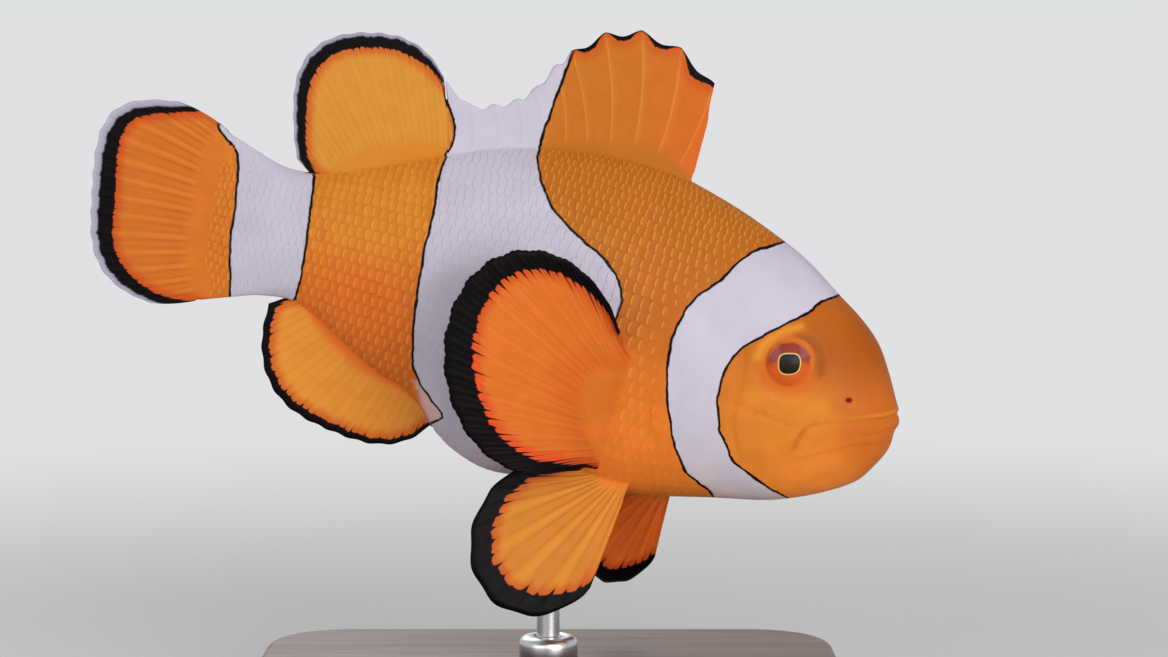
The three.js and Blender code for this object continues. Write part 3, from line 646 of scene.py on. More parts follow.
def oneSkin():
    # body and fins become one closed mesh, and each point takes its values from the nearest source point
    body = bodyMesh()
    parts = [finMesh(name, fin) for name, fin in fins.items()]
    tree = KDTree(sum(len(p.data.vertices) for p in [body, *parts]))
    source, origin = {}, []
    for number, piece in enumerate([body, *parts]):
        for point in readAll(piece.data.vertices, "co", 3):
            tree.insert(point, len(origin))
            origin.append(number)
        for key, values in fieldsOf(piece.data).items():
            source.setdefault(key, []).append(values)
    tree.balance()
    for piece in parts:
        union = body.modifiers.new(piece.name, "BOOLEAN")
        union.operation, union.solver, union.object = "UNION", "MANIFOLD", piece
    joined = bpy.data.meshes.new_from_object(body.evaluated_get(bpy.context.evaluated_depsgraph_get()))
    for piece in [body, *parts]:
        bpy.data.objects.remove(piece)
    for key in [a.name for a in joined.attributes if a.name in source]:
        joined.attributes.remove(joined.attributes[key])
    points = readAll(joined.vertices, "co", 3)
    nearest = np.array([tree.find(p)[1] for p in points])
    points = softened(points, readAll(joined.edges, "vertices", 2, np.int32), np.array(origin)[nearest])
    joined.vertices.foreach_set("co", points.astype(np.float32).ravel())
    picked = {key: np.concatenate(values)[nearest] for key, values in source.items()}
    setFields(joined, {key: values for key, values in picked.items() if values.ndim == 1},
              {key: values[:, :3] for key, values in picked.items() if values.ndim == 2})
    joined.polygons.foreach_set("use_smooth", np.full(len(joined.polygons), True))
    joined.update()
    joined.name = "skin"
    return addPiece("skin", joined)


skin = oneSkin()
print("skin", len(skin.data.polygons), "faces", flush=True)


scales = dict(
    start=17, stop=77.2, rows=24, spacing=0.99, rowPitch=1.44, crowding=0.014, smallerUp=0.027, scatter=0.03,
    growth=[(17, 0.94), (27, 1.07), (45, 1.05), (60, 0.95), (74, 0.80), (77, 0.66)],
    length=1.8, width=1.86, thickness=0.03, sunk=0.09, lift=0.022, crown=0.008, rim=0.012, sides=0.35,
    rounding=0.13, outward=(0, 0.3, 0.55, 0.74, 0.87, 0.95, 1), acrossSteps=9, patch=0.003,
    nearHead=dict(size=0.62, reach=2.0), smallest=0.3, edgeRoom=0.25,
    chest=dict(smaller=0.3, up=(-14, -9), along=(28, 37)),
    fleshyRoot=dict(centre=(31.0, -8.6), half=(2.6, 6.8)),  # no scales under the pectoral fin's root
    onWhite=dict(front=0.86, rear=0.8, change=(60, 68)),  # they stand lower in the white bands
    faint=dict(flatter=0.12, edge=0.86, share=0.7),  # and show less on the chest
    parts=dict(front=(0, 36), middle=(36, 54), rear=(54, 99)))


def arcTable():
    # for places along the body, the girth above and below its widest line, and the turns at shares of it
    along = np.linspace(14, 79, 220)
    shares = np.linspace(-1, 1, 121)
    turns, up, down = np.zeros((len(along), len(shares))), np.zeros(len(along)), np.zeros(len(along))
    for n, a in enumerate(along):
        for sign, store in ((1, up), (-1, down)):
            turn = sign * np.linspace(0, np.pi / 2, 200)
            points = bodySurface(np.full(len(turn), a), turn, 0)[0]
            arc = np.concatenate([[0], np.cumsum(np.linalg.norm(np.diff(points, axis=0), axis=1))])
            store[n] = arc[-1]
            half = shares >= 0 if sign > 0 else shares <= 0
            turns[n, half] = np.interp(np.abs(shares[half]), arc / arc[-1], turn)
    return along, shares, turns, up, down


arcAlong, arcShares, arcTurns, arcUp, arcDown = arcTable()


def turnAt(along, arc):
    longest = np.where(arc > 0, np.interp(along, arcAlong, arcUp), np.interp(along, arcAlong, arcDown))
    share = np.clip(arc / longest, -1, 1)
    x = np.clip((along - arcAlong[0]) / (arcAlong[1] - arcAlong[0]), 0, len(arcAlong) - 1.001)
    y = np.clip((share + 1) / (arcShares[1] - arcShares[0]), 0, len(arcShares) - 1.001)
    i, j = x.astype(int), y.astype(int)
    s, t = x - i, y - j
    return ((arcTurns[i, j] * (1 - s) + arcTurns[i + 1, j] * s) * (1 - t)
            + (arcTurns[i, j + 1] * (1 - s) + arcTurns[i + 1, j + 1] * s) * t)


def onSide(side, turn):
    return turn if side > 0 else np.pi - turn


def scaleRoots():
    # rows run along the body, each half a scale on from the one below it
    s, roots = scales, []
    for row in range(-s["rows"], s["rows"] + 1):
        small = 1 - s["smallerUp"] * max(row - 3, 0)  # they are smaller toward the back
        along = s["start"] + (row % 2) * s["spacing"] / 2
        while along < s["stop"]:
            grow = between(s["growth"], along)
            arc = row * s["rowPitch"] * grow * (1 - s["crowding"] * max(row, 0))
            longest = np.interp(along, arcAlong, arcUp if arc > 0 else arcDown)
            if abs(arc) < longest - s["edgeRoom"]:
                shift = [random.normal(0, s["scatter"]) for _ in range(2)]
                roots.append((along + shift[0], arc + shift[1], grow * small))
            along += s["spacing"] * grow * small
    along, arc, size = np.array(roots).T
    up = bodySurface(along, turnAt(along, arc), 0)[1]
    behind = along - crossing(bands["head"]["rear"], up)
    growing = smooth(0, s["nearHead"]["reach"], behind)
    size = size * lerp(s["nearHead"]["size"], 1, growing) * (behind > -0.2)
    onChest = (1 - smooth(*s["chest"]["up"], up)) * (1 - smooth(*s["chest"]["along"], along))
    size *= 1 - s["chest"]["smaller"] * onChest
    (x, y), (wide, tall) = s["fleshyRoot"]["centre"], s["fleshyRoot"]["half"]
    clearOfFin = np.hypot((along - x) / wide, (up - y) / tall) > 1
    keep = (size > s["smallest"]) & clearOfFin & (webShare(along + 1, up) < 0.5)
    return along[keep, None], arc[keep, None], size[keep, None]


def scalePlate():
    # one scale: p runs from its root to its rear edge, q from side to side
    s = scales
    p, q = np.meshgrid(s["outward"], np.linspace(-1, 1, s["acrossSteps"]), indexing="ij")
    p, q = p.ravel(), q.ravel()
    rearward = p * (1 - s["rounding"] * q ** 2) * s["length"]
    sideways = q * 0.5 * s["width"] * np.sqrt(np.clip(1 - (0.85 * np.abs(p - 0.55)) ** 2, 0, 1))
    rise = (s["sunk"] + s["lift"]) * smooth(0, 0.75, p) * (1 - s["sides"] * smooth(0.55, 1, np.abs(q)))
    rise += s["crown"] * (1 - q ** 2) * p + s["rim"] * bump(p - 0.95, 0.06)
    return p, q, rearward, sideways, rise


def twice(values):
    # the same value for a scale's upper and lower layer
    return np.concatenate([values, values], 1)


def scaleCoat():
    s, white = scales, scales["onWhite"]
    places, arcs, sizes = scaleRoots()
    p, q, rearward, sideways, rise = scalePlate()
    plate = np.concatenate(sheetFaces(len(s["outward"]) - 1, s["acrossSteps"] - 1))
    edge = p - 0.3 * smooth(0.5, 0.95, np.abs(q))
    patch = np.tile(np.stack([p - 0.5, q * 0.5], -1) * s["patch"], (2, 1))
    coats = []
    for side, half in ((-1, "right"), (1, "left")):
        order = plate if side < 0 else plate[:, ::-1]
        for part, (start, stop) in s["parts"].items():
            chosen = ((places >= start) & (places < stop)).ravel()
            root, rootArc, z = places[chosen], arcs[chosen], sizes[chosen]
            along = root + rearward * z
            turn = onSide(side, turnAt(along, rootArc + sideways * z))
            normal = bodyNormal(along, turn, 0)
            base, up = bodySurface(along, turn, -bodyShape["skinInside"])
            base = base + normal * headField(along, up)[..., None]
            band = bandField(along, up)
            faint = np.maximum((1 - smooth(-12, -6, up)) * (1 - smooth(31, 42, along)),
                               (1 - smooth(-3, 2, up)) * (1 - smooth(29.5, 32, along)))
            low = lerp(white["front"], white["rear"], smooth(*white["change"], along))
            flatter = lerp(1, low, smooth(-0.3, 1.2, band)) * (1 - s["faint"]["flatter"] * faint)
            upper = base + normal * ((rise * flatter - s["sunk"]) * z)[..., None]
            points = np.concatenate([upper, upper - normal * s["thickness"]], 1).reshape(-1, 3)
            first = np.arange(len(z)) * 2 * len(p)
            faces = (order[None] + first[:, None, None]).reshape(-1, 4)
            seen = lerp(edge, s["faint"]["edge"], s["faint"]["share"] * faint)
            tint = np.repeat(random.uniform(-1, 1, len(z)), 2 * len(p))
            fields = dict(band=twice(band), scaleEdge=twice(seen), scaleTint=tint)
            coat = buildMesh(f"scales_{half}_{part}", points, [faces], fields,
                             dict(tone=twice(toneField(along, up)).reshape(-1, 3)))
            # each scale's patch sits at its root's place on the body's own unwrap
            rootTurn = onSide(side, turnAt(root, rootArc))
            centre = np.stack([root / bodyShape["end"], (rootTurn + np.pi / 2) / (2 * np.pi)], -1)
            uv = (centre + patch).reshape(-1, 2)[readAll(coat.data.loops, "vertex_index", kind=np.int32)]
            coat.data.uv_layers.new(name="OFBake").data.foreach_set("uv", uv.astype(np.float32).ravel())
            coats.append(coat)
    return coats


coats = scaleCoat()
print("scales", [len(c.data.polygons) for c in coats], flush=True)


eyes = dict(
    along=14.5, up=2.72, radius=3.4, bulge=0.85, rows=72, around=96,
    pupil=(1.11, 1.06), squareness=3.0, pulledIn=0.16, ring=0.11,  # the pupil's half sizes and its gold ring
    # the bluish pupilTopReflection colour is a painted reflection in the pupil's upper half
    pupilTopReflection=(0.010, 0.017, 0.030), pupilLow=(0.014, 0.009, 0.004), ringColour=(0.72, 0.47, 0.15),
    upper=(0.23, 0.035, 0.018), mauve=(0.27, 0.09, 0.12), lower=(0.62, 0.105, 0.013), rim=(0.62, 0.15, 0.018),
    cloud=(0.40, 0.08, 0.02))


def eyePiece(name, side):
    e = eyes
    flank = flankOut(e["along"], e["up"], backSharpnessAt(e["along"]))
    centre = place(e["along"], e["up"], side * (flank + e["bulge"] - e["radius"]))
    rows, around = e["rows"], e["around"]
    # the sphere's pole faces out along the fish's side
    lean, turn = np.meshgrid(np.arange(1, rows) / rows * math.pi, np.arange(around) / around * 2 * math.pi,
                             indexing="ij")
    points = np.stack([np.sin(lean) * np.cos(turn), side * np.cos(lean), np.sin(lean) * np.sin(turn)], -1)
    points = np.concatenate([[(0, side, 0)], points.reshape(-1, 3), [(0, -side, 0)]]) * e["radius"]
    front, high = points[:, 0], points[:, 2]
    wide, tall, power = *e["pupil"], e["squareness"]
    ring = (np.abs(front / wide) ** power + np.abs(high / tall) ** power) ** (1 / power)
    ring *= 1 + e["pulledIn"] * np.clip(np.maximum(front / wide, 0) * np.maximum(-high / tall, 0), 0, 1)
    ring = np.where(points[:, 1] * side < 0, farOff, ring)
    index = 1 + np.arange((rows - 1) * around).reshape(rows - 1, around)
    ahead = np.roll(index, -1, axis=1)
    quads = np.stack([index[:-1], index[1:], ahead[1:], ahead[:-1]], -1).reshape(-1, 4)
    cap = np.stack([np.zeros(around, int), index[0], ahead[0]], -1)
    end = np.stack([np.full(around, len(points) - 1), ahead[-1], index[-1]], -1)
    triangles = np.concatenate([cap, end])
    if side > 0:
        quads, triangles = quads[:, ::-1], triangles[:, ::-1]
    return buildMesh(name, points + centre, [quads, triangles],
                     dict(eyeRing=ring, eyeOut=np.hypot(front, high), eyeUp=high, eyeFront=front))


eyeRight, eyeLeft = eyePiece("eyeball_right", -1), eyePiece("eyeball_left", 1)

stand = dict(
    corner=9, cornerSteps=24, edge=1.1, edgeSteps=7, foot=0.5,  # the base's rounded corners and edges
    around=64, bore=1.5, shoulder=0.9, shoulderSteps=8, chamfer=0.15, lead=0.2,  # the collar
    intoBelly=1.0)


def millimetres(box):
    # a box's low and high corner
    return (np.array(v) / mm for v in box)


def ringMesh(name, rings, capped):
    # rings of points joined into a skin, with a face at each end or the last ring joined to the first
    index = np.arange(sum(len(r) for r in rings)).reshape(len(rings), -1)
    ahead = np.roll(index, -1, axis=1)
    pairs = zip(range(len(rings)), range(1, len(rings)) if capped else [*range(1, len(rings)), 0])
    quads = [np.stack([index[i], ahead[i], ahead[j], index[j]], -1) for i, j in pairs]
    ends = [index[0][::-1][None], index[-1][None]] if capped else []
    return buildMesh(name, np.concatenate(rings), [*quads, *ends], {})


def standBase():
    # a rounded block: one ring of points for each step of its profile
    s = stand
    low, high = millimetres(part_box("stand_base"))
    middle, reach = (high + low)[:2] / 2, (high - low)[:2] / 2 - s["corner"]
    bend = np.linspace(0, math.pi / 2, s["edgeSteps"])
    profile = [(s["foot"] + 0.4, low[2]), (s["foot"], low[2]), (0, low[2] + s["foot"])]
    profile += [(s["edge"] * (1 - math.cos(b)), high[2] - s["edge"] * (1 - math.sin(b))) for b in bend]
    profile += [(s["edge"] + 0.5, high[2])]
    turn = np.concatenate([np.linspace(k, k + 1, s["cornerSteps"]) for k in range(4)]) * math.pi / 2
    circle = np.stack([np.cos(turn), np.sin(turn)], -1)
    corner = np.repeat([(1, 1), (-1, 1), (-1, -1), (1, -1)], s["cornerSteps"], axis=0) * reach
    rings = []
    for inset, height in profile:
        across = corner + (s["corner"] - inset) * circle + middle
        rings.append(np.column_stack([across, np.full(len(turn), height)]))
    return ringMesh("base_block", rings, capped=True)


def turned(name, node, profile, capped):
    # a round piece: one ring for each (radius, height) of its profile
    low, high = millimetres(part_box(node))
    turn = np.arange(stand["around"]) / stand["around"] * 2 * math.pi
    x, y = (low[:2] + high[:2]) / 2
    rings = []
    for radius, height in profile:
        across = [x + radius * np.cos(turn), y + radius * np.sin(turn)]
        rings.append(np.column_stack([*across, np.full(len(turn), height)]))
    return ringMesh(name, rings, capped)


def standRod():
    low, high = millimetres(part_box("stand_rod"))
    radius, top = (high[0] - low[0]) / 2, high[2] + stand["intoBelly"]
    heights = [low[2], low[2] + 0.3, *np.linspace(low[2] + 1, top - 0.3, 6), top]
    return turned("rod", "stand_rod", [(radius, z) for z in heights], capped=True)


def standCollar():
    low, high = millimetres(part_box("stand_collar"))
    radius, inner = (high[0] - low[0]) / 2, stand["bore"]
    bend = np.linspace(0, math.pi / 2, stand["shoulderSteps"])
    lip, chamfer, lead = stand["shoulder"], stand["chamfer"], stand["lead"]
    profile = [(inner, low[2]), (radius - chamfer, low[2]), (radius, low[2] + chamfer)]
    profile += [(radius - lip * (1 - math.cos(b)), high[2] - lip * (1 - math.sin(b))) for b in bend]
    profile += [(inner + lead, high[2]), (inner, high[2] - lead)]
    return turned("collar", "stand_collar", profile, capped=False)


baseBlock, rod, collar = standBase(), standRod(), standCollar()
print("eyes and stand", flush=True)


class Nodes:
    # short ways to add nodes to one tree and link them
    def __init__(self, tree):
        self.tree = tree

    def feed(self, node, values):
        for key, value in values.items():
            if isinstance(value, bpy.types.NodeSocket):
                self.tree.links.new(value, node.inputs[key])
            else:
                node.inputs[key].default_value = value

    def add(self, kind, values=None, **settings):
        node = self.tree.nodes.new(kind)
        for key, value in settings.items():
            setattr(node, key, value)
        self.feed(node, values or {})
        return node

    def math(self, operation, a, b=0.0):
        return self.add("ShaderNodeMath", {0: a, 1: b}, operation=operation).outputs[0]

    def times(self, a, b):
        return self.math("MULTIPLY", a, b)

    def plus(self, a, b):
        return self.math("ADD", a, b)

    def minus(self, a, b):
        return self.math("SUBTRACT", a, b)

    def vector(self, operation, a, b=(0, 0, 0)):
        return self.add("ShaderNodeVectorMath", {0: a, 1: b}, operation=operation).outputs

    def mix(self, factor, a, b):
        node = self.add("ShaderNodeMix", data_type="RGBA")
        a, b = (v if isinstance(v, bpy.types.NodeSocket) else (*v, 1) for v in (a, b))
        self.feed(node, {0: factor, 6: a, 7: b})
        return node.outputs[2]

    def attribute(self, name, output="Fac"):
        return self.add("ShaderNodeAttribute", attribute_name=name).outputs[output]

    def position(self):
        return self.add("ShaderNodeTexCoord").outputs["Object"]

    def stretched(self, vector, scale):
        return self.add("ShaderNodeMapping", {"Vector": vector, "Scale": scale}).outputs[0]

    def ramp(self, value, low, high, smoothly=False):
        kind = "SMOOTHSTEP" if smoothly else "LINEAR"
        node = self.add("ShaderNodeMapRange", {"Value": value, "From Min": low, "From Max": high},
                        interpolation_type=kind)
        return node.outputs["Result"]

    def noise(self, vector, scale, detail, roughness=0.55):
        values = {"Vector": vector, "Scale": scale, "Detail": detail, "Roughness": roughness}
        return self.add("ShaderNodeTexNoise", values).outputs["Fac"]

    def bump(self, height, strength, distance):
        values = {"Height": height, "Strength": strength, "Distance": distance}
        return self.add("ShaderNodeBump", values).outputs[0]

    def use(self, name, values):
        return self.add("ShaderNodeGroup", values, node_tree=groups[name]).outputs


def group(name, inputs, outputs):
    tree = bpy.data.node_groups.new(name, "ShaderNodeTree")
    for label, value in inputs.items():
        kind = "NodeSocketColor" if isinstance(value, tuple) else "NodeSocketFloat"
        tree.interface.new_socket(label, in_out="INPUT", socket_type=kind).default_value = value
    for label in outputs:
        kind = "NodeSocketColor" if label == "Color" else "NodeSocketFloat"
        tree.interface.new_socket(label, in_out="OUTPUT", socket_type=kind)
    n = Nodes(tree)
    return tree, n, n.add("NodeGroupInput").outputs, n.add("NodeGroupOutput")


markings = dict(white=(0.51, 0.47, 0.555), lowWhite=(0.62, 0.48, 0.41), black=(0.002, 0.001, 0.0015),
                lineHalf=0.075, wander=0.4, clearColour=(0.30, 0.26, 0.38))


def markingsGroup():
    # orange in, banded and outlined colour out, with the white's mask
    tree, n, ins, end = group("bandMarkings", {"Orange": (1, 0.3, 0.03, 1), "Band": -farOff, "Wander": 0.4},
                              ("Color", "White"))
    at = n.position()
    edge = n.plus(ins["Band"], n.times(n.minus(n.noise(at, 900, 2), 0.5), ins["Wander"]))
    height = n.add("ShaderNodeSeparateXYZ", {0: at}).outputs["Z"]
    white = n.mix(n.ramp(height, 0.036, 0.020, True), markings["white"], markings["lowWhite"])
    clouded = tuple(v * 0.90 for v in markings["white"])
    white = n.mix(n.ramp(n.noise(at, 260, 4), 0.35, 0.75), white, clouded)
    inside = n.ramp(edge, -0.03, 0.03)
    banded = n.mix(inside, ins["Orange"], white)
    width = n.plus(markings["lineHalf"], n.times(n.noise(at, 420, 2), 0.10))
    line = n.ramp(n.minus(n.math("ABSOLUTE", n.plus(edge, 0.06)), width), 0.06, -0.03)
    n.feed(end, {"Color": n.mix(line, banded, markings["black"]), "White": inside})
    return tree


def mottleGroup():
    # slow and fine variation of a colour
    tree, n, ins, end = group("mottle", {"Color": (1, 1, 1, 1), "Scale": 300, "Amount": 0.12}, ("Color",))
    dark = n.times(n.ramp(n.noise(n.position(), ins["Scale"], 5), 0.3, 0.75, True), ins["Amount"])
    n.feed(end, {"Color": n.mix(dark, ins["Color"], (0.25, 0.05, 0.005))})
    return tree


def rayGroup():
    # rays and their branches on a fin, and the ragged way in which the edging follows them
    tree, n, ins, end = group("finRays", {"Ray": 0, "Reach": 0},
                              ("Line", "Branch", "Fine", "Ragged", "Spine", "Needles", "Furrow"))

    def wave(times):
        turn = n.times(ins["Ray"], times * 2 * math.pi)
        return n.times(n.plus(n.math("COSINE", turn), 1.0), 0.5)

    def streaks(across, outward, detail):
        spread = {0: n.times(ins["Ray"], across), 1: n.times(ins["Reach"], outward)}
        return n.noise(n.add("ShaderNodeCombineXYZ", spread).outputs[0], 1.0, detail)

    split = n.ramp(ins["Reach"], 0.35, 0.7, True)
    inner, outer = n.math("POWER", wave(2), 1.5), n.math("POWER", wave(4), 1.5)
    away = n.math("ABSOLUTE", n.minus(n.math("FRACT", n.plus(ins["Ray"], 0.5)), 0.5))
    n.feed(end, {
        "Line": n.math("POWER", wave(1), 2.0),
        "Branch": n.plus(n.times(inner, n.minus(1.0, split)), n.times(outer, split)),
        "Fine": streaks(12, 1.0, 3),
        "Ragged": n.minus(streaks(4.5, 1.2, 2), 0.5),
        "Spine": n.ramp(away, 0.055, 0.02),
        "Needles": n.times(n.math("POWER", wave(3), 7.0), n.ramp(streaks(7, 0.5, 2), 0.35, 0.65)),
        "Furrow": n.math("POWER", n.minus(1.0, wave(2)), 6.0)})
    return tree


groups = dict(markings=markingsGroup(), mottle=mottleGroup(), rays=rayGroup())


def material(name):
    # a new material with its nodes, a Principled shader and an output
    made = bpy.data.materials.new(name)
    made.use_nodes = True
    made.node_tree.nodes.clear()
    n = Nodes(made.node_tree)
    shader = n.add("ShaderNodeBsdfPrincipled")
    n.add("ShaderNodeOutputMaterial", {0: shader.outputs[0]})
    return made, n, shader


def mottledTone(n):
    return n.use("mottle", {"Color": n.attribute("tone", "Color"), "Scale": 520.0, "Amount": 0.14})["Color"]


def withBands(n, tone):
    return n.use("markings", {"Orange": tone, "Band": n.attribute("band"), "Wander": markings["wander"]})


# valley and furrow are painted shade in the folds between the rays
skinFinish = dict(streak=(0.74, 0.26, 0.032), branch=(0.76, 0.27, 0.035), furrowShade=(0.36, 0.085, 0.008),
                  valleyShade=(0.42, 0.07, 0.010), spine=(0.74, 0.38, 0.06), warmEdge=(0.50, 0.035, 0.008),
                  stain=(0.70, 0.07, 0.016), nostril=(0.16, 0.003, 0.001))


def nostrilShade(n, at):
    # painted shade: dark inside a small oval on each side, the nostril's pit
    along, up = headRelief["nostril"]["at"]
    centre = place(along, up, flankOut(along, up) - 0.3) * mm
    apart = n.vector("SUBTRACT", n.vector("ABSOLUTE", at)[0], centre)[0]
    gap = n.vector("LENGTH", n.vector("MULTIPLY", apart, (0.72, 1, 1))[0])["Value"]
    return n.ramp(gap, 0.00040, 0.00020, True)


def skinMaterial():
    made, n, shader = material("fishSkin")
    c = skinFinish
    at, reach = n.position(), n.attribute("reach")
    fin, spiny = n.attribute("fin"), n.attribute("spine")
    rays = n.use("rays", {"Ray": n.attribute("ray"), "Reach": reach})
    soft = n.times(fin, n.minus(1.0, spiny))
    tone = n.mix(n.times(n.ramp(rays["Fine"], 0.42, 0.68), n.times(soft, 0.2)), mottledTone(n), c["streak"])
    tone = n.mix(n.times(n.times(rays["Branch"], soft), 0.09), tone, c["branch"])
    folds = n.times(n.attribute("folds"), fin)
    # painted shade in the furrows between the rays, deeper toward the root and on folded fins
    depth = n.plus(n.times(n.times(folds, n.ramp(reach, 1.0, 0.3)), 0.35), n.times(soft, 0.08))
    tone = n.mix(n.times(rays["Furrow"], depth), tone, c["furrowShade"])
    # painted shade in the valleys off the rays, on folded fins
    tone = n.mix(n.times(n.minus(1.0, rays["Line"]), n.times(folds, 0.26)), tone, c["valleyShade"])
    # painted highlight: lighter along each spine's ridge
    tone = n.mix(n.times(n.times(rays["Spine"], spiny), n.times(fin, 0.2)), tone, c["spine"])
    marks = withBands(n, tone)
    # the edging, from the outside in: a clear hem, a black line frayed along the rays, and a warm glow
    frayed = n.minus(n.times(rays["Ragged"], 0.9), n.times(rays["Needles"], 1.2))
    margin = n.plus(n.attribute("margin"), n.times(frayed, n.attribute("fray")))
    warm = n.times(n.ramp(margin, 1.3, 0.15, True), n.minus(0.6, n.times(spiny, 0.15)))
    edged = n.mix(n.times(warm, n.minus(1.0, marks["White"])), marks["Color"], c["warmEdge"])
    inward = n.plus(n.attribute("margin"), n.times(rays["Ragged"], 1.5))
    edged = n.mix(n.times(n.ramp(inward, 0.85, 0.7), n.attribute("patches")), edged, c["stain"])
    edged = n.mix(n.ramp(margin, 0.07, -0.05), edged, markings["black"])
    beyond = n.plus(n.attribute("clear"), n.times(rays["Ragged"], 0.4))
    clear = n.ramp(beyond, 0.12, -0.16, True)
    edged = n.mix(clear, edged, markings["clearColour"])
    # painted shade in each nostril
    edged = n.mix(nostrilShade(n, at), edged, c["nostril"])
    thin = n.times(n.ramp(beyond, 0.0, -1.3), 0.45)
    lines = n.plus(n.times(rays["Fine"], 0.5), n.times(rays["Branch"], 0.5))
    height = n.plus(n.times(n.noise(at, 2600, 3), 0.3), n.times(n.times(lines, soft), 0.7))
    n.feed(shader, {"Base Color": edged, "Roughness": n.plus(n.times(n.noise(at, 1500, 3), 0.14), 0.38),
                    "Normal": n.bump(height, 0.35, 0.00012), "Specular IOR Level": 0.06,
                    "Alpha": n.minus(1.0, n.times(clear, n.plus(0.4, thin)))})
    return made


# root is painted shadow under the scale ahead; rim and whiteRimAndHighlight are the scales' lighter rear
# edges with a painted highlight on them
scaleFinish = dict(light=(0.70, 0.24, 0.03), dull=(0.42, 0.10, 0.012), root=(0.34, 0.07, 0.008),
                   rim=(0.76, 0.33, 0.04), whiteRimAndHighlight=(0.70, 0.66, 0.74))


def scaleMaterial():
    made, n, shader = material("fishScales")
    c = scaleFinish
    at, edge, tint = n.position(), n.attribute("scaleEdge"), n.attribute("scaleTint")
    tone = n.mix(n.ramp(tint, 0.1, 6.0), mottledTone(n), c["light"])
    tone = n.mix(n.ramp(tint, -0.1, -6.0), tone, c["dull"])
    # painted shadow: darker toward each scale's root, under the free edge of the scale ahead
    tone = n.mix(n.times(n.ramp(edge, 0.75, 0.45, True), 0.32), tone, c["root"])
    # each scale's rear edge: lighter in its own colour, with a painted highlight where it catches the light
    rim = n.times(n.ramp(edge, 0.80, 0.95, True), 0.5)
    marks = withBands(n, n.mix(rim, tone, c["rim"]))
    # the same rim, paler, on scales in the white bands: partly their own paler edge, partly painted highlight
    pale = n.times(n.times(rim, marks["White"]), 0.22)
    n.feed(shader, {"Base Color": n.mix(pale, marks["Color"], c["whiteRimAndHighlight"]),
                    "Roughness": n.plus(n.times(n.noise(at, 1500, 3), 0.16), 0.32),
                    "Normal": n.bump(n.noise(at, 3000, 3), 0.25, 0.00008), "Specular IOR Level": 0.08})
    return made


def eyeMaterial():
    made, n, shader = material("fishEye")
    e, at = eyes, n.position()
    ring, out, up = n.attribute("eyeRing"), n.attribute("eyeOut"), n.attribute("eyeUp")
    cloud = n.times(n.minus(n.noise(at, 900, 4), 0.5), 1.4)
    above = n.plus(up, cloud)
    iris = n.mix(n.ramp(above, -0.5, 0.6, True), e["lower"], e["upper"])
    toSide = n.ramp(n.plus(n.math("ABSOLUTE", n.attribute("eyeFront")), cloud), 0.8, 1.5, True)
    iris = n.mix(n.times(n.times(n.ramp(above, 0.3, 0.8, True), toSide), 0.75), iris, e["mauve"])
    iris = n.mix(n.times(n.noise(at, 1800, 4), 0.3), iris, e["cloud"])
    iris = n.mix(n.ramp(n.plus(out, n.times(cloud, 0.5)), 2.05, 2.5, True), iris, e["rim"])
    # the pupil, with a painted bluish reflection in its upper half
    pupil = n.mix(n.ramp(up, 0.35, 0.65, True), e["pupilLow"], e["pupilTopReflection"])
    full = n.mix(n.ramp(ring, 1.02, 0.98), iris, pupil)
    half = e["ring"] / 2
    away = n.math("ABSOLUTE", n.minus(ring, 1 + half))
    full = n.mix(n.ramp(away, half + 0.02, half - 0.02), full, e["ringColour"])
    n.feed(shader, {"Base Color": full, "Roughness": 0.4, "Coat Weight": 0.05, "Coat Roughness": 0.12,
                    "Specular IOR Level": 0.1})
    return made


woodFinish = dict(light=(0.135, 0.052, 0.020), dark=(0.048, 0.017, 0.007), pore=(0.018, 0.007, 0.003))


def woodMaterial():
    made, n, shader = material("darkWood")
    c, at = woodFinish, n.position()
    slow = n.add("ShaderNodeTexNoise", {"Vector": at, "Scale": 22.0}).outputs["Color"]
    bent = n.add("ShaderNodeVectorMath", {0: slow, 1: (0.004, 0.004, 0.004), 2: at}, operation="MULTIPLY_ADD")
    grain = n.noise(n.stretched(bent.outputs[0], (28, 420, 420)), 1.0, 8, 0.65)
    pores = n.noise(n.stretched(at, (120, 2400, 2400)), 1.0, 2)
    wood = n.mix(n.ramp(grain, 0.35, 0.68), c["light"], c["dark"])
    wood = n.mix(n.times(n.ramp(pores, 0.6, 0.75), 0.6), wood, c["pore"])
    n.feed(shader, {"Base Color": wood, "Roughness": n.plus(n.times(grain, 0.3), 0.3),
                    "Normal": n.bump(grain, 0.15, 0.0002), "Coat Weight": 0.2, "Coat Roughness": 0.25,
                    "Specular IOR Level": 0.35})
    return made


def steelMaterial():
    made, n, shader = material("brushedSteel")
    lines = n.noise(n.stretched(n.position(), (300, 300, 9000)), 1.0, 4)
    n.feed(shader, {"Base Color": (0.56, 0.56, 0.57, 1), "Metallic": 1.0,
                    "Roughness": n.plus(n.times(lines, 0.22), 0.2)})
    return made


scalePaint, eyePaint, steelPaint = scaleMaterial(), eyeMaterial(), steelMaterial()
skin.data.materials.clear()
skin.data.materials.append(skinMaterial())
for coat in coats:
    coat.data.materials.append(scalePaint)
for piece, paint in ((eyeRight, eyePaint), (eyeLeft, eyePaint), (baseBlock, woodMaterial()),
                     (rod, steelPaint), (collar, steelPaint)):
    piece.data.materials.append(paint)

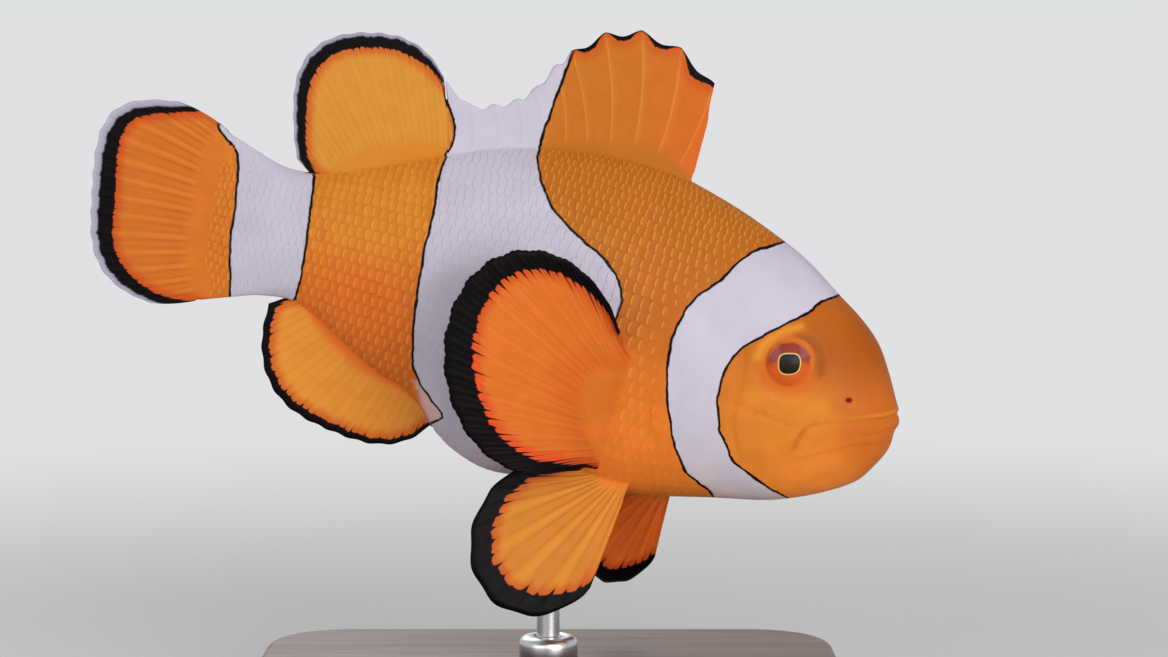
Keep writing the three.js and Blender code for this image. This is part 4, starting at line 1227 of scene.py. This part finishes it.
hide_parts("head", "lower_jaw", "gill_cover_right", "gill_cover_left", "trunk", "tail_stalk",
            "dorsal_fin_spiny", "dorsal_fin_soft", "anal_fin", "tail_fin", "pectoral_fin_right",
            "pectoral_fin_left", "pelvic_fin_right", "pelvic_fin_left")
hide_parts("eye_right")
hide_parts("eye_left")
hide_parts("stand_base")
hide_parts("stand_rod")
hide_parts("stand_collar")
for piece, name in ((skin, "skin"), *((c, "skin") for c in coats), (eyeRight, "eyes"), (eyeLeft, "eyes"),
                    (baseBlock, "stand_wood"), (rod, "stand_metal"), (collar, "stand_metal")):
    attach(piece, "root")
print("materials", flush=True)

studio = dict(floorSize=60.0, floorColour=(0.72, 0.72, 0.71), world=0.34, worldColour=(0.94, 0.96, 1.0),
              backdrop=(0.74, 0.75, 0.76), fade=(0.07, 0.30), target=(0, 0, 0.044))
lamps = dict(  # place, size and power
    key=((0.2, -0.55, 0.28), 0.45, 1.45), fill=((-0.35, -0.5, 0.1), 0.5, 1.3),
    low=((0.27, -0.42, 0.03), 0.3, 1.8), rim=((-0.15, 0.45, 0.35), 0.3, 0.9))
# the camera's lens, and where it stands and aims, in millimetres and degrees
view = dict(target=(3.89, 0, 43.44), distance=297.9, elevation=4.5, lens=85, sensor=36)


def backdropRays(n):
    # the backdrop is seen straight, in reflections and through clear parts, and doesn't light the fish
    rays = n.add("ShaderNodeLightPath").outputs
    shown = n.math("MAXIMUM", rays["Is Camera Ray"], rays["Is Glossy Ray"])
    return n.math("MAXIMUM", shown, rays["Is Transmission Ray"])


def floorMaterial():
    # pale near the stand, and running into the backdrop farther away
    made, n, shader = material("paleFloor")
    n.feed(shader, {"Base Color": (*studio["floorColour"], 1), "Roughness": 0.9})
    glow = n.add("ShaderNodeEmission", {"Color": (*studio["backdrop"], 1), "Strength": 1.0}).outputs[0]
    away = n.vector("LENGTH", n.position())["Value"]
    seen = n.times(n.ramp(away, *studio["fade"], True), backdropRays(n))
    blend = n.add("ShaderNodeMixShader", {0: seen, 1: shader.outputs[0], 2: glow}).outputs[0]
    n.feed(made.node_tree.nodes["Material Output"], {0: blend})
    return made


bpy.ops.mesh.primitive_plane_add(size=studio["floorSize"])
floor = bpy.context.object
floor.name = "floor"
floor.data.materials.append(floorMaterial())

world = bpy.data.worlds.new("studio")
bpy.context.scene.world = world
world.use_nodes = True
w = Nodes(world.node_tree)
lit = world.node_tree.nodes["Background"]
w.feed(lit, {0: (*studio["worldColour"], 1), 1: studio["world"]})
seen = w.add("ShaderNodeBackground", {"Color": (*studio["backdrop"], 1), "Strength": 1.0})
both = w.add("ShaderNodeMixShader", {0: backdropRays(w), 1: lit.outputs[0], 2: seen.outputs[0]})
w.feed(world.node_tree.nodes["World Output"], {0: both.outputs[0]})

for name, (spot, size, power) in lamps.items():
    lamp = bpy.data.lights.new(name, "AREA")
    lamp.size, lamp.energy = size, power
    holder = addPiece(name, lamp)
    holder.location = spot
    holder.rotation_euler = (Vector(studio["target"]) - Vector(spot)).to_track_quat("-Z", "Y").to_euler()

lens = bpy.data.cameras.new("camera")
lens.lens, lens.sensor_width, lens.clip_start = view["lens"], view["sensor"], 0.01
camera = addPiece("camera", lens)
tilt = math.radians(view["elevation"])
away = Vector((0, -math.cos(tilt), math.sin(tilt)))
camera.location = Vector(view["target"]) * mm + away * view["distance"] * mm
camera.rotation_euler = (-away).to_track_quat("-Z", "Y").to_euler()
bpy.context.scene.camera = camera
bpy.context.scene.view_settings.view_transform = "Standard"

bpy.context.view_layer.update()
